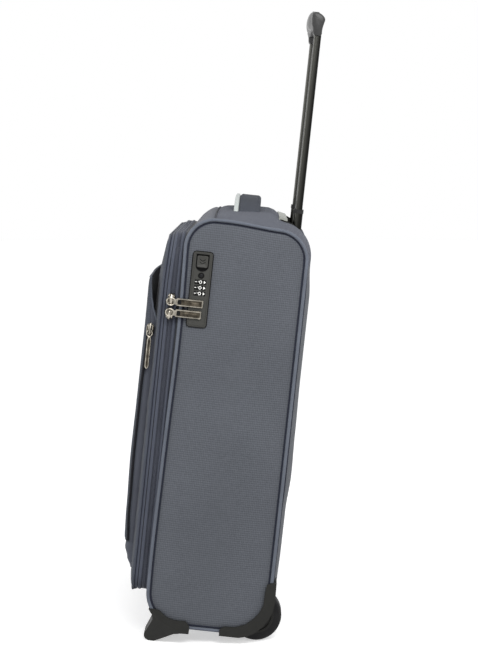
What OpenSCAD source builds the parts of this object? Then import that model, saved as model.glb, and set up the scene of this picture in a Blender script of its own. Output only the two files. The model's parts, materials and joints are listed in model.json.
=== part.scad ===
// Softside upright cabin suitcase on two rear wheels, with its telescopic handle raised.
// The case is designed upright in its own frame: X sideways, Y from front to back, Z up.
// case_frame() then leans it back onto its front feet and its wheels.

/* [Body] */
// Width of the case over its two side panels
body_width = 390; // [386:1:400]
// Front of the fabric body, behind the zip
body_front = -69; // [-69:0.5:-69]
// Back of the fabric body
body_back = 80; // [80:0.5:81]
// Underside of the fabric body
body_bottom = 18; // [18:0.5:18]
// Top of the fabric body at its edges
body_top = 518; // [518:0.5:520]
// Radius of the body's upper corners seen from the side
top_radius = 36; // [34:1:38]
// Radius of the body's lower corners seen from the side
bottom_radius = 41; // [40:1:42]
// Thickness of a padded fabric wall
wall = 3.5; // [3:0.25:3.5]
// Thickness of the edge piping
piping_size = 5; // [4.5:0.25:5]
// Angle at which the standing case leans back
lean = 6; // [5.9:0.1:6.1]

/* [Lid and pocket] */
// Half width of the lid's gusset
lid_half = 190; // [189:0.5:190]
// Lowest edge of the lid
lid_bottom = 57; // [56:1:60]
// Highest edge of the lid
lid_top = 499; // [498:1:500]
// Radius of the lid's corners seen from the front
lid_radius = 34; // [30:1:38]
// Front of the zip that joins lid and body
zip_front = -84; // [-84:0.5:-84]
// Front edge of the lid's gusset
gusset_front = -90; // [-90:0.5:-90]
// Front face of the lid's panel
panel_face = -94; // [-94:0.5:-94]
// Front face of the pocket
pocket_face = -108; // [-109:0.5:-107]
// Half width of the pocket
pocket_half = 166; // [160:1:168]
// Height of the pocket's mouth
pocket_mouth = 438; // [434:1:440]
// Height down to which the pocket's sides are unzipped
pocket_slit = 375; // [372:1:378]

/* [Wheels] */
// Radius of a wheel
wheel_radius = 31.5; // [31:0.5:31.5]
// Width of a wheel
wheel_width = 24; // [22:1:25]
// Distance of a wheel's middle from the case's middle plane
wheel_place = 169; // [168:1:170]
// Distance of the wheel's axle behind the feet's origin line, on the floor
wheel_back = 68.5; // [68:0.5:69]
// Radius of a wheel axle
axle_radius = 3; // [2.5:0.5:3.5]

/* [Handle] */
// Distance between the two telescopic tubes
tube_spacing = 172; // [168:1:174]
// Place of the tubes between front and back
tube_line = 66; // [66:0.5:66.5]
// Thickness of the innermost tube, front to back
tube_depth = 8.8; // [8.4:0.1:8.8]
// Width of the innermost tube
tube_width = 17.8; // [16:0.2:18]
// Wall thickness of the tubes
tube_wall = 0.9; // [0.8:0.05:0.9]
// Free gap between one tube and the next
tube_gap = 0.3; // [0.25:0.05:0.3]
// Underside of the grip's necks
grip_bottom = 752; // [750:1:754]
// Top of the middle stage's collars
collar_top = 537; // [535:1:540]

/* [Lock] */
// Centre of the lock plate, front to back
lock_line = -44.4; // [-45:0.2:-44]
// Width of the lock plate
lock_width = 23; // [22:0.5:24]
// Lower edge of the lock plate
lock_bottom = 388; // [386:1:390]
// Upper edge of the lock plate
lock_top = 478; // [477:1:480]
// Distance between the number dials
dial_pitch = 6.9; // [6.7:0.1:7]
// Radius of a number dial
dial_radius = 6.6; // [6.4:0.1:6.6]

/* [Hidden] */
$fn = 48;
EDGE_STEPS = 6; // facets in each quarter turn of a sewn corner
half_width = body_width / 2;
gusset_half = half_width - 4;
piping_face = half_width + 2;
plate_face = half_width + 3;
cover_face = half_width + 4.5;
origin_y = -29.5; // puts the frame's origin under the middle of the whole object
axle = floor_point(wheel_back, wheel_radius);
arch_radius = wheel_radius + 2.7;
arch_wall = 3;
cheek_inner = wheel_width / 2 + 3.5;
cheek_outer = cheek_inner + 3.5;
hinge_x = -lid_half;
tube_x = tube_spacing / 2;
cup_floor = 480;
cup_half = tube_x + 18.5;
grip_half = tube_x + 11;
grip_split = tube_line;
tube_top = grip_bottom + 9;
link_bottom = 773; // underside of the link between the push rods
// Side outlines of the grip: over a neck, at the bar's end and at its raised middle.
grip_neck = [[60.3, 752], [59, 762], [57.2, 775], [57, 779], [58.5, 780.4], [61.2, 781.1], [65, 780.4],
    [69.6, 777.8], [73.1, 773.6], [71.8, 767.6], [71.6, 752]];
grip_end = [[57.6, 766], [57, 779], [58.5, 780.4], [61.2, 781.1], [65, 780.4], [69.6, 777.8], [73.1, 773.6],
    [71.3, 767.6], [69.5, 763], [60, 762]];
grip_middle = [[53.7, 768.5], [53.3, 775], [54, 781], [56.3, 785.3], [60, 787.2], [65, 786.6], [69, 784],
    [71.8, 779], [70.4, 771], [67.5, 765.8], [59, 764.2], [55.4, 765.4]];
tube_foot = 54; // the outer tubes stand on their base here
hoop_bottom = body_bottom + bottom_radius + 0.5; // the hoop stays clear of the rounded corners
hoop_top = body_top - top_radius - 0.5;
pull_pin = half_width + 4;
slider_line = -77; // the main zip's sliders, front to back
pocket_pin_x = pocket_half + 7;
pocket_pin_y = pocket_face + 8;
pocket_pin_z = 371;
slack = 0.3; // free gap around the wheel housings
housing_inner = wheel_place - cheek_outer - slack;
cover_edge = [[22, 13.5], [46, 13.5], [56, 16], [66, 22], [74.3, 30.5], [80.5, 40], [84.6, 50.5], [86, 62],
    [85.4, 86]]; // outer edge of a wheel housing, from its lower front to its upper back
fabric = "#5f646e";
piping_colour = "#697078";
dark_plastic = "#343430";
lock_plastic = "#50504c";
black_metal = "#26262a";
silver = "#a8a29a";
light_trim = "#c3c8c6";
rubber = "#232325";

// A point given in the standing frame (distance behind the origin line, height over the
// floor), turned into the upright case's frame.
function floor_point(y, z) = [y * cos(lean) - z * sin(lean), y * sin(lean) + z * cos(lean)];
// Points of one quarter circle about (x, y), starting at angle a.
function quarter(x, y, r, a) =
    [for (i = [0:EDGE_STEPS]) [x + r * cos(a + 90 * i / EDGE_STEPS), y + r * sin(a + 90 * i / EDGE_STEPS)]];

// Leans the upright case back and moves the origin under its middle.
module case_frame() translate([0, origin_y, 0]) rotate([-lean, 0, 0]) children();
// Draws the children again on the other side of the case for side = -1.
module on_side(side) mirror([side < 0 ? 1 : 0, 0, 0]) children();
// Extrudes a side-view outline (Y, Z) from x0 to x1.
module along_x(x0, x1) translate([x0, 0, 0]) rotate([90, 0, 90]) linear_extrude(x1 - x0) children();
// Extrudes a front-view outline (X, Z) from y0 to y1.
module along_y(y0, y1) translate([0, y1, 0]) rotate([90, 0, 0]) linear_extrude(y1 - y0) children();
// Extrudes a plan outline (X, Y) from z0 to z1.
module along_z(z0, z1) translate([0, 0, z0]) linear_extrude(z1 - z0) children();

module box(low, high) translate(low) cube(high - low);

// A rectangle with one radius at its two upper corners and one at its two lower corners.
module rounded(x0, x1, y0, y1, r_top, r_low) polygon(concat(
    quarter(x1 - r_top, y1 - r_top, r_top, 0), quarter(x0 + r_top, y1 - r_top, r_top, 90),
    quarter(x0 + r_low, y0 + r_low, r_low, 180), quarter(x1 - r_low, y0 + r_low, r_low, 270)));
// The body's outline seen from the side, grown outwards by g.
module body_outline(g) rounded(body_front - g, body_back + g, body_bottom - g, body_top + g,
    top_radius + g, bottom_radius + g);
// The lid's outline seen from the front, grown outwards by g.
module lid_outline(g) rounded(-lid_half - g, lid_half + g, lid_bottom - g, lid_top + g,
    lid_radius + g, lid_radius + g);
// A tube's outline in plan, grown outwards by g, with rounded edges.
module tube_outline(g) rounded(-tube_width / 2 - g, tube_width / 2 + g, -tube_depth / 2 - g,
    tube_depth / 2 + g, 2.6 + g, 2.6 + g);
// The children at both telescopic tubes.
module at_tubes() for (s = [-1, 1]) translate([s * tube_x, tube_line, 0]) children();
// The room that both wheel housings take from a panel or a board.
module housing_space() for (s = [-1, 1]) on_side(s)
    translate([housing_inner, axle.x, axle.y]) rotate([0, 90, 0])
        cylinder(r = arch_radius + arch_wall + slack, h = gusset_half + 1 - housing_inner);

// ---- Fabric body ----
module gusset_ring() along_x(-gusset_half, gusset_half) difference() {
    body_outline(0);
    body_outline(-wall);
}

module side_panel(side) color(fabric) case_frame() difference() {
    on_side(side) along_x(gusset_half, half_width) body_outline(-3);
    if (side > 0) box([0, lock_line - 8.3, 421], [half_width + 1, lock_line + 8.3, 476]);
}

module piping() color(piping_colour) case_frame() for (s = [-1, 1]) on_side(s)
    along_x(gusset_half, piping_face) difference() {
        body_outline(2);
        body_outline(2 - piping_size);
    }

module cup_space() box([-cup_half - 0.2, 43.8, cup_floor - 4.2], [cup_half + 0.2, 90, 540]);

module top_panel() color(fabric) case_frame() difference() {
    gusset_ring();
    box([-half_width, -100, -10], [half_width, 100, body_top - top_radius]);
    cup_space();
}

module bottom_panel() color(fabric) case_frame() difference() {
    gusset_ring();
    box([-half_width, -100, body_bottom + bottom_radius], [half_width, 100, 600]);
    housing_space();
}

module back_panel() color(fabric) case_frame() difference() {
    box([-gusset_half, body_back - wall, body_bottom + bottom_radius],
        [gusset_half, body_back, body_top - top_radius]);
    cup_space();
    housing_space();
}

module front_panel() color(fabric) case_frame() difference() {
    box([-gusset_half, body_front, body_bottom + bottom_radius],
        [gusset_half, body_front + wall, body_top - top_radius]);
    box([-lid_half + 12, -100, lid_bottom + 15], [lid_half - 12, 0, 600]);
}

module frame_hoop() color(black_metal) case_frame() along_y(body_front + wall + 0.1, body_front + wall + 3)
    difference() {
        rounded(-gusset_half + 4, gusset_half - 4, hoop_bottom, hoop_top, 30, 30);
        rounded(-gusset_half + 7, gusset_half - 7, hoop_bottom + 3, hoop_top - 3, 27, 27);
    }

module back_board() color(dark_plastic) case_frame() difference() {
    box([-gusset_half + 4, body_back - wall - 2.3, 60], [gusset_half - 4, body_back - wall, cup_floor - 6]);
    housing_space();
}

module bottom_board() color(dark_plastic) case_frame() difference() {
    box([-gusset_half + 8, body_front + bottom_radius, body_bottom + wall],
        [gusset_half - 8, body_back - bottom_radius, body_bottom + wall + 2]);
    housing_space();
}

// ---- Zip between body and lid ----
module zip_ring(y0, y1, w) along_y(y0, y1) difference() {
    lid_outline(-1.5);
    lid_outline(-1.5 - w);
}

module zip_frame() color(fabric) case_frame() zip_ring(-76, body_front, 8.5);

module zip_lid_half() color(fabric) case_frame() difference() {
    zip_ring(zip_front, -76.3, 4);
    box([-half_width, -100, 0], [-lid_half + 6, 0, 600]);
}

module hinge_tape() color(fabric) case_frame()
    box([hinge_x + 0.3, zip_front, lid_bottom + lid_radius + 2],
        [hinge_x + 1.7, -76, lid_top - lid_radius - 2]);

// ---- Lid ----
module lid_gusset() color(fabric) case_frame() along_y(gusset_front, zip_front - 0.3) difference() {
    lid_outline(0);
    lid_outline(-5);
}

module lid_piping() color(piping_colour) case_frame() difference() {
    along_y(gusset_front - 1, gusset_front + 2) difference() {
        lid_outline(2);
        lid_outline(0);
    }
    box([-half_width - 5, -100, 0], [-lid_half + 0.5, 0, 600]);
}

module lid_panel() color(fabric) case_frame() along_y(panel_face, gusset_front) lid_outline(-3);

module pocket_front() color(fabric) case_frame() along_y(pocket_face, pocket_face + 2.5)
    rounded(-pocket_half, pocket_half, 108, pocket_mouth, 10, 4);

module pocket_gusset() color(fabric) case_frame() for (s = [-1, 1]) on_side(s)
    along_x(pocket_half - 3, pocket_half) polygon([
        [panel_face, 122], [panel_face, pocket_slit - 3], [pocket_face + 4, pocket_mouth - 12],
        [pocket_face + 2.5, pocket_mouth - 12], [pocket_face + 2.5, 122]]);

module pocket_base() color(fabric) case_frame() along_x(-pocket_half, pocket_half) polygon([
    [panel_face, 78], [panel_face - 3, 78], [-103, 98], [pocket_face + 2.5, 108], [pocket_face + 2.5, 122],
    [panel_face, 122]]);

module pocket_zip_tape() color(black_metal) case_frame() for (s = [-1, 1]) on_side(s)
    box([pocket_half, pocket_face + 2.6, 112], [pocket_half + 1.2, pocket_face + 8, pocket_slit]);

// ---- Telescopic handle ----
module handle_cup() color(dark_plastic) case_frame() difference() {
    along_x(-cup_half, cup_half) polygon([
        [44, cup_floor - 4], [44, 523], [54, 521], [62, 517.5], [69, 512.5], [76, 505], [81.5, 497],
        [81.5, cup_floor - 4]]);
    box([-cup_half + 3.2, 50.5, cup_floor], [cup_half - 3.2, 77.5, 600]);
    at_tubes() box([-13, -8.5, cup_floor - 5], [13, 8.5, cup_floor + 1]);
}

module cup_lip() color(light_trim) case_frame() along_x(-cup_half, cup_half)
    polygon([[41, 521.2], [43.9, 521.2], [43.9, 523.1], [53, 521.3], [53.4, 523.1], [43, 525.4]]);

module outer_tubes() color(black_metal) case_frame() at_tubes() along_z(tube_foot, cup_floor - 4)
    difference() {
        tube_outline(2 * tube_wall + 2 * tube_gap);
        tube_outline(tube_wall + 2 * tube_gap);
    }

module tube_base() color(dark_plastic) case_frame()
    box([-tube_x - 14, 57, 46], [tube_x + 14, body_back - wall - 3.6, tube_foot]);

module middle_tubes() color(black_metal) case_frame() at_tubes() along_z(107, collar_top - 5) difference() {
    tube_outline(tube_wall + tube_gap);
    tube_outline(tube_gap);
}

module middle_collars() color(dark_plastic) case_frame() at_tubes() along_z(collar_top - 5, collar_top)
    difference() {
        tube_outline(tube_wall + tube_gap + 0.5);
        tube_outline(tube_gap);
    }

module inner_tubes() color(black_metal) case_frame() at_tubes() along_z(340, tube_top) difference() {
    tube_outline(0);
    tube_outline(-tube_wall);
}

// The grip's bar, raised in its middle, and its two necks.
module grip_outside() for (s = [-1, 1]) on_side(s) {
    hull() {
        along_x(0, 18) polygon(grip_middle);
        along_x(tube_x - 10, tube_x - 8) polygon(grip_end);
    }
    along_x(tube_x - 11, grip_half) polygon(grip_neck);
}
// The same, hollow for the push rods and their link.
module grip_solid() difference() {
    grip_outside();
    box([-tube_x - 4.5, 60.2, link_bottom - 5], [tube_x + 4.5, 67.8, link_bottom + 4.6]);
    at_tubes() along_z(grip_bottom - 1, tube_top + 0.5) tube_outline(0.02);
    at_tubes() translate([0, -1.7, tube_top]) cylinder(r = 2.4, h = link_bottom - 4.5 - tube_top);
    box([-14, 58.2, link_bottom - 0.4], [14, 67.6, 800]);
}

module grip_front_shell() color(dark_plastic) case_frame() difference() {
    grip_solid();
    box([-200, grip_split, 700], [200, 120, 900]);
}

module grip_rear_shell() color(dark_plastic) case_frame() difference() {
    grip_solid();
    box([-200, 0, 700], [200, grip_split, 900]);
}

module grip_button() color(lock_plastic) case_frame()
    box([-13.6, 58.6, link_bottom + 4], [13.6, 67.2, 788.4]);

module push_rods() color(silver) case_frame() {
    box([-tube_x - 3, 61, link_bottom], [tube_x + 3, 67.2, link_bottom + 4]);
    at_tubes() translate([0, -1.7, 352]) cylinder(r = 1.5, h = link_bottom + 1 - 352);
}

module button_spring() color(silver) case_frame() translate([0, 64, link_bottom - 5]) difference() {
    cylinder(r = 3.4, h = 5);
    translate([0, 0, -1]) cylinder(r = 2.6, h = 7);
}

// ---- Wheels, housings and feet ----
module cover_outline() polygon(concat(cover_edge, [
    [79, 85.5], [74, 83], [72.7, 74], [72, 57], [68, 47], [62, 39], [53, 31], [40, 26], [28, 25.5],
    [22, 22]]));
// The same outline closed inwards: everything that the housing may fill.
module housing_outline() polygon(concat(cover_edge, [[20, 86], [20, 25]]));

module wheel_housing(side) color(dark_plastic) case_frame() on_side(side) difference() {
    union() {
        along_x(piping_face + 0.2, cover_face) cover_outline();
        along_x(wheel_place - cheek_outer, piping_face + 0.2) difference() {
            cover_outline();
            body_outline(2.2);
        }
        along_x(wheel_place - cheek_outer, wheel_place + cheek_outer) intersection() {
            housing_outline();
            translate(axle) circle(r = arch_radius + arch_wall);
        }
        box([wheel_place - cheek_outer, 20, body_bottom + wall + 2],
            [wheel_place + cheek_outer, 40, body_bottom + wall + 5]);
    }
    translate([wheel_place - cheek_inner, axle.x, axle.y]) rotate([0, 90, 0])
        cylinder(r = arch_radius, h = 2 * cheek_inner);
    translate([wheel_place - cheek_outer - 1, axle.x, axle.y]) rotate([0, 90, 0])
        cylinder(r = axle_radius + 0.02, h = 2 * cheek_outer + 2);
}

module axles() color(silver) case_frame() for (s = [-1, 1]) on_side(s)
    translate([wheel_place - cheek_outer, axle.x, axle.y]) rotate([0, 90, 0]) {
        cylinder(r = axle_radius, h = 2 * cheek_outer);
        translate([0, 0, 2 * cheek_outer]) cylinder(r = 5, h = 1.5);
    }

module wheel_hub(side) color(dark_plastic) case_frame() on_side(side)
    translate([wheel_place, axle.x, axle.y]) rotate([0, 90, 0]) difference() {
        cylinder(r = 22, h = wheel_width, center = true);
        cylinder(r = 8, h = wheel_width + 2, center = true);
        for (s = [-1, 1]) translate([0, 0, s * wheel_width / 2]) difference() {
            cylinder(r = 19, h = 4, center = true);
            cylinder(r = 11, h = 6, center = true);
        }
    }

module tyre(side) color(rubber) case_frame() on_side(side)
    translate([wheel_place, axle.x, axle.y]) rotate([0, 90, 0]) rotate_extrude() polygon([
        [22, -wheel_width / 2], [29, -wheel_width / 2], [31, -wheel_width / 2 + 2],
        [wheel_radius, -wheel_width / 2 + 5], [wheel_radius, wheel_width / 2 - 5], [31, wheel_width / 2 - 2],
        [29, wheel_width / 2], [22, wheel_width / 2]]);

module bearings(side) color(silver) case_frame() on_side(side)
    for (s = [-1, 1]) translate([wheel_place + s * (wheel_width / 2 - 3), axle.x, axle.y]) rotate([0, 90, 0])
        difference() {
            cylinder(r = 8, h = 6, center = true);
            cylinder(r = axle_radius + 0.05, h = 8, center = true);
        }

// The foot's outline; its sole is level once the case leans on it.
module foot_outline() polygon([
    [-66.5, 37.5], [-62, 31], [-60.5, 24.5], [-70, 1.5], [-69.8, -2], [-68, -4.9], floor_point(-64.5, 0),
    floor_point(-57.5, 0), [-51.5, -2.8], [-33.5, 9], [-26, 11.2], [-15, 11.6], [-15, 21.5],
    [-20.5, 27.3], [-33.5, 26.7], [-44, 29.8], [-53, 37], [-59.5, 38.5]]);

// What a foot's sloping face cuts away, from its crease down to the sole's outer end.
module foot_slope() translate([cover_face, -63, 33]) rotate([-32.5, 0, 0]) rotate([0, 29, 0])
    translate([0, -60, -80]) cube([60, 140, 80]);

module front_foot(side) color(dark_plastic) case_frame() on_side(side) difference() {
    union() {
        along_x(piping_face + 0.2, cover_face) foot_outline();
        along_x(half_width - 45, piping_face + 0.2) difference() {
            foot_outline();
            body_outline(2.2);
        }
    }
    foot_slope();
}

// Screws of the tube base and of the wheel housings, identical.
module screws() color(silver) case_frame() {
    for (x = [-60, -20, 20, 60]) translate([x, 66, tube_foot]) cylinder(r = 3.5, h = 2);
    for (s = [-1, 1], x = [-12, 12]) translate([s * (wheel_place + x), 24.5, body_bottom + wall + 5])
        cylinder(r = 3.5, h = 2);
}

// ---- Lock ----
module dial_place(i) translate([half_width - 3.8, lock_line, 442 - i * dial_pitch]) children();

module lock_plate() color(lock_plastic) case_frame() difference() {
    along_x(half_width, plate_face)
        rounded(lock_line - lock_width / 2, lock_line + lock_width / 2, lock_bottom, lock_top, 3, 3);
    box([half_width - 1, lock_line - 7.9, 454.6], [plate_face + 1, lock_line + 7.9, 475]);
    for (i = [0:2]) dial_place(i) box([0, -6.6, -2.8], [20, 6.6, 2.8]);
    translate([half_width - 1, lock_line, 449.8]) rotate([0, 90, 0]) cylinder(r = 2.35, h = 10);
}

module lock_body() color(dark_plastic) case_frame() difference() {
    box([half_width - 12, lock_line - 8, 421.5], [half_width, lock_line + 8, 475.5]);
    box([half_width - 11, lock_line - 7, 424.8], [half_width + 1, lock_line + 7, 445.4]);
    box([half_width - 5.2, lock_line - 7.9, 454.6], [half_width + 1, lock_line + 7.9, 475]);
    translate([half_width - 10, lock_line, 449.8]) rotate([0, 90, 0]) cylinder(r = 2.35, h = 20);
    dial_place(0) translate([0, 0, -20]) cylinder(r = 1.52, h = 25);
}

module dial_shaft() color(silver) case_frame() dial_place(0) translate([0, 0, -19.5])
    cylinder(r = 1.5, h = 24);

module dial(i) color(black_metal) case_frame() dial_place(i) difference() {
    cylinder(r = dial_radius, h = 5, center = true);
    cylinder(r = 1.56, h = 7, center = true);
    for (k = [0:9]) rotate(36 * k + 18) translate([dial_radius, 0, 0])
        cylinder(r = 0.5, h = 7, center = true);
}

module lock_button() color(lock_plastic) case_frame()
    box([half_width - 5, lock_line - 7.6, 459], [plate_face, lock_line + 7.6, 474.7]);

module key_cylinder() color(silver) case_frame() translate([half_width - 10, lock_line, 449.8])
    rotate([0, 90, 0]) difference() {
        cylinder(r = 2.3, h = 12.8);
        translate([-0.4, -1.6, 6]) cube([0.8, 3.2, 10]);
    }

// ---- Zip sliders and pulls ----
// A slider on the zip at the case's right side; its pin, along Z, sits at (x, y).
module slider(x_base, x_pin, y, z0, z1, pin0, pin1) union() {
    box([x_base, y - 5, z0], [x_base + 3.6, y + 5, z1]);
    for (z = [pin0 - 1.4, pin1 + 0.2]) {
        box([x_base + 3.4, y - 1.8, z], [x_pin, y + 1.8, z + 1.2]);
        translate([x_pin, y, z]) cylinder(r = 1.8, h = 1.2);
    }
    translate([x_pin, y, pin0 - 1]) cylinder(r = 0.8, h = pin1 - pin0 + 2);
}
// A pull whose knuckle turns on the slider's pin and whose blade runs to y_tip.
module pull(x_pin, y, y_tip, z0, z1) difference() {
    union() {
        translate([x_pin, y, z0]) cylinder(r = 1.9, h = z1 - z0);
        box([x_pin - 0.7, y, z0 + 1.4], [x_pin + 1.3, y + 8, z1 - 1.4]);
        box([x_pin - 0.7, y + 7.9, z0 - 0.2], [x_pin + 1.3, y_tip, z1 + 0.2]);
    }
    translate([x_pin, y, z0 - 1]) cylinder(r = 0.87, h = z1 - z0 + 2);
    box([x_pin + 0.8, y + 10, z0 + 1.2], [x_pin + 3, y_tip - 3, z1 - 1.2]);
}
module upper_slider() color(silver) case_frame()
    slider(lid_half + 0.3, pull_pin, slider_line, 409.3, 426, 410.8, 419.2);
module upper_pull() color(silver) case_frame() pull(pull_pin, slider_line, -38.5, 410.8, 419.2);
module lower_slider() color(silver) case_frame()
    slider(lid_half + 0.3, pull_pin, slider_line, 393, 408.4, 398.4, 406.8);
module lower_pull() color(silver) case_frame() pull(pull_pin, slider_line, -39.5, 398.4, 406.8);

// The pocket's zip runs up its right side; the pull hangs from a pin along Y.
module pocket_slider() color(silver) case_frame() {
    box([pocket_half + 1.5, pocket_pin_y - 4.5, 366], [pocket_half + 4.6, pocket_pin_y + 3.6, 380]);
    for (y = [pocket_pin_y - 4, pocket_pin_y + 2.8]) {
        box([pocket_half + 4.4, y, pocket_pin_z - 1.7], [pocket_pin_x, y + 1.2, pocket_pin_z + 1.7]);
        translate([pocket_pin_x, y, pocket_pin_z]) rotate([-90, 0, 0]) cylinder(r = 1.7, h = 1.2);
    }
    translate([pocket_pin_x, pocket_pin_y - 3.5, pocket_pin_z]) rotate([-90, 0, 0]) cylinder(r = 0.8, h = 7);
}

module pocket_pull() color(silver) case_frame() difference() {
    union() {
        translate([pocket_pin_x, pocket_pin_y - 2.6, pocket_pin_z]) rotate([-90, 0, 0])
            cylinder(r = 1.8, h = 5.2);
        box([pocket_pin_x - 0.7, pocket_pin_y - 2.2, 328],
            [pocket_pin_x + 1.1, pocket_pin_y + 2.2, pocket_pin_z]);
    }
    translate([pocket_pin_x, pocket_pin_y - 4, pocket_pin_z]) rotate([-90, 0, 0]) cylinder(r = 0.87, h = 8);
    box([pocket_pin_x + 0.6, pocket_pin_y - 1.3, 331], [pocket_pin_x + 3, pocket_pin_y + 1.3, 362]);
}

// ---- Carry handle ----
// One side of the strap's arch seen from the front, at distance d below its top line.
function arch(d) = [
    for (p = [[104, 519], [97, 522], [88, 530.5], [76, 539.5], [60, 544.5], [30, 546], [0, 546.4]])
        [p.x - d * 0.45 * (p.x > 70 ? 1 : 0), p.y - d * (p.x > 90 ? 0 : 1)]];
function mirrored(points) = [for (i = [len(points) - 2:-1:0]) [-points[i].x, points[i].y]];
function reversed(points) = [for (i = [len(points) - 1:-1:0]) points[i]];
module handle_arch() {
    outer = arch(0);
    inner = arch(9);
    polygon(concat(outer, mirrored(outer), reversed(mirrored(inner)), reversed(inner)));
}
module carry_handle() color(fabric) case_frame() along_y(-9, 18) handle_arch();
module handle_trim() color(light_trim) case_frame() along_y(-15, -9.05) handle_arch();

side_panel(1);  // side_panel_right
side_panel(-1);  // side_panel_left
top_panel();
bottom_panel();
back_panel();
front_panel();
piping();
frame_hoop();
back_board();
bottom_board();
zip_frame();
hinge_tape();
handle_cup();
cup_lip();
outer_tubes();
tube_base();
screws();
wheel_housing(1);  // wheel_housing_right
wheel_housing(-1);  // wheel_housing_left
axles();
front_foot(1);  // front_foot_right
front_foot(-1);  // front_foot_left
lock_plate();
lock_body();
dial_shaft();
carry_handle();
handle_trim();
lid_gusset();
lid_panel();
lid_piping();
zip_lid_half();
pocket_front();
pocket_gusset();
pocket_base();
pocket_zip_tape();
middle_tubes();
middle_collars();
inner_tubes();
grip_front_shell();
grip_rear_shell();
grip_button();
push_rods();
button_spring();
wheel_hub(1);  // wheel_hub_right
wheel_hub(-1);  // wheel_hub_left
tyre(1);  // tyre_right
tyre(-1);  // tyre_left
bearings(1);  // bearings_right
bearings(-1);  // bearings_left
upper_slider();
lower_slider();
upper_pull();
lower_pull();
pocket_slider();
pocket_pull();
dial(0);  // dial_1
dial(1);  // dial_2
dial(2);  // dial_3
lock_button();
key_cylinder();
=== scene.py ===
"""Looks of the softside upright suitcase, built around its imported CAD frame.

Pieces are modelled in the case's own frame, in millimetres: x sideways, a from front to back
and h up along the leaning case. to_row() turns that into the row frame, in metres. A shape is
a tuple (points, faces, cloth, kinds); cloth is (u, v) in millimetres for each point, kinds is
the number of each face's material, and either may be left out.
"""

import json
import math

import bmesh
import bpy
from mathutils import Matrix, Vector


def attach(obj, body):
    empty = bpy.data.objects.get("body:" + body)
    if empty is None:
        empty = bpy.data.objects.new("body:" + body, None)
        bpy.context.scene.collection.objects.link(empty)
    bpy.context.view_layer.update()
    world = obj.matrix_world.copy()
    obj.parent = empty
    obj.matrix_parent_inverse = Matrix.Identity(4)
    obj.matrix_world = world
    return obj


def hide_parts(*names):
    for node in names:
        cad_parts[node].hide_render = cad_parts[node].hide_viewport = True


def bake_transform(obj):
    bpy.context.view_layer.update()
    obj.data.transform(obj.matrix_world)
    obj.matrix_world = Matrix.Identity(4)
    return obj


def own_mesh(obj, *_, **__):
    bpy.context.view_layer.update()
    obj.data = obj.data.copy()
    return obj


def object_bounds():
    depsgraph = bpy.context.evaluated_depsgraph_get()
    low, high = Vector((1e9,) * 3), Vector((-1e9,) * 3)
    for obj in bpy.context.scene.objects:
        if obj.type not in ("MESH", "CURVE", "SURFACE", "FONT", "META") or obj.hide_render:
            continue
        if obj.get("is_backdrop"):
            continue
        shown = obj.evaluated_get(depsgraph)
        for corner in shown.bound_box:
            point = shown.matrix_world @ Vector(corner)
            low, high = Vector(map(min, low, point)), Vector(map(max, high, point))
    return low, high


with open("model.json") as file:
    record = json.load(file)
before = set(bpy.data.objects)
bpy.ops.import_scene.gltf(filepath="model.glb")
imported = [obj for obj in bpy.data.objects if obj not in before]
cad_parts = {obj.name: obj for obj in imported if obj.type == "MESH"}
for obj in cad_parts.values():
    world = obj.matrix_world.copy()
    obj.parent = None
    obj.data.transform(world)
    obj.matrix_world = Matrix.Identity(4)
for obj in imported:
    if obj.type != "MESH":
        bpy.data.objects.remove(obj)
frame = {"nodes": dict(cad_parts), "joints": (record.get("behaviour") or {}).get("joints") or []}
CAD_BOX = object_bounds()
NODES = frame["nodes"]
SCENE = bpy.context.scene

# ---- The case's own frame ----
JOINTS = {j["name"]: j for j in frame["joints"]}
CASE_UP = Vector(JOINTS["middle_slide"]["axis"])  # the tubes slide along the case's height
LEAN = math.atan2(CASE_UP.y, CASE_UP.z)
ORIGIN_Y = -0.0295  # the case's origin line, behind the row frame's origin
CASE = Matrix.Translation((0, ORIGIN_Y, 0)) @ Matrix.Rotation(-LEAN, 4, "X") @ Matrix.Scale(0.001, 4)
INTO_CASE = CASE.inverted()


def to_row(x, a, h):
    return CASE @ Vector((x, a, h))


def case_box(node):
    """A CAD node's lowest and highest corners in the case's frame, in millimetres."""
    points = [INTO_CASE @ v.co for v in NODES[node].data.vertices]
    return [Vector(end(p[i] for p in points) for i in range(3)) for end in (min, max)]


PIPING_LOW, PIPING_HIGH = case_box("piping")
SIDE_HIGH = case_box("side_panel_right")[1]
LID_LOW, LID_HIGH = case_box("lid_gusset")
POCKET_LOW, POCKET_HIGH = case_box("pocket_front")
BASE_LOW, BASE_HIGH = case_box("pocket_base")
CUP_LOW, CUP_HIGH = case_box("handle_cup")
HANDLE_LOW, HANDLE_HIGH = case_box("carry_handle")
TRIM_LOW, TRIM_HIGH = case_box("handle_trim")
PLATE_LOW, PLATE_HIGH = case_box("lock_plate")
BUTTON_LOW, BUTTON_HIGH = case_box("lock_button")
HOUSING_LOW, HOUSING_HIGH = case_box("wheel_housing_right")
DIALS_LOW, DIALS_HIGH = case_box("dial_3")[0], case_box("dial_1")[1]

PIPE = 2.0  # radius of the body's piping
BODY_FRONT, BODY_BACK = PIPING_LOW.y + 2, PIPING_HIGH.y - 2
BODY_BOTTOM, BODY_TOP = PIPING_LOW.z + 2, PIPING_HIGH.z - 2
BODY_HALF = SIDE_HIGH.x - 4  # half width of the fabric between the two side panels
WALL = 3.0


def smooth(value, low, high):
    """0 below low, 1 above high and a smooth rise between them; low may be the larger."""
    t = min(1.0, max(0.0, (value - low) / (high - low)))
    return t * t * (3 - 2 * t)


def mix(a, b, t):
    return a + (b - a) * t


def curve(points, value):
    """The height of a smooth line through points (position, height), clamped at both ends."""
    if value <= points[0][0]:
        return points[0][1]
    for (p, low), (q, high) in zip(points, points[1:]):
        if value <= q:
            return mix(low, high, smooth(value, p, q))
    return points[-1][1]


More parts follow.
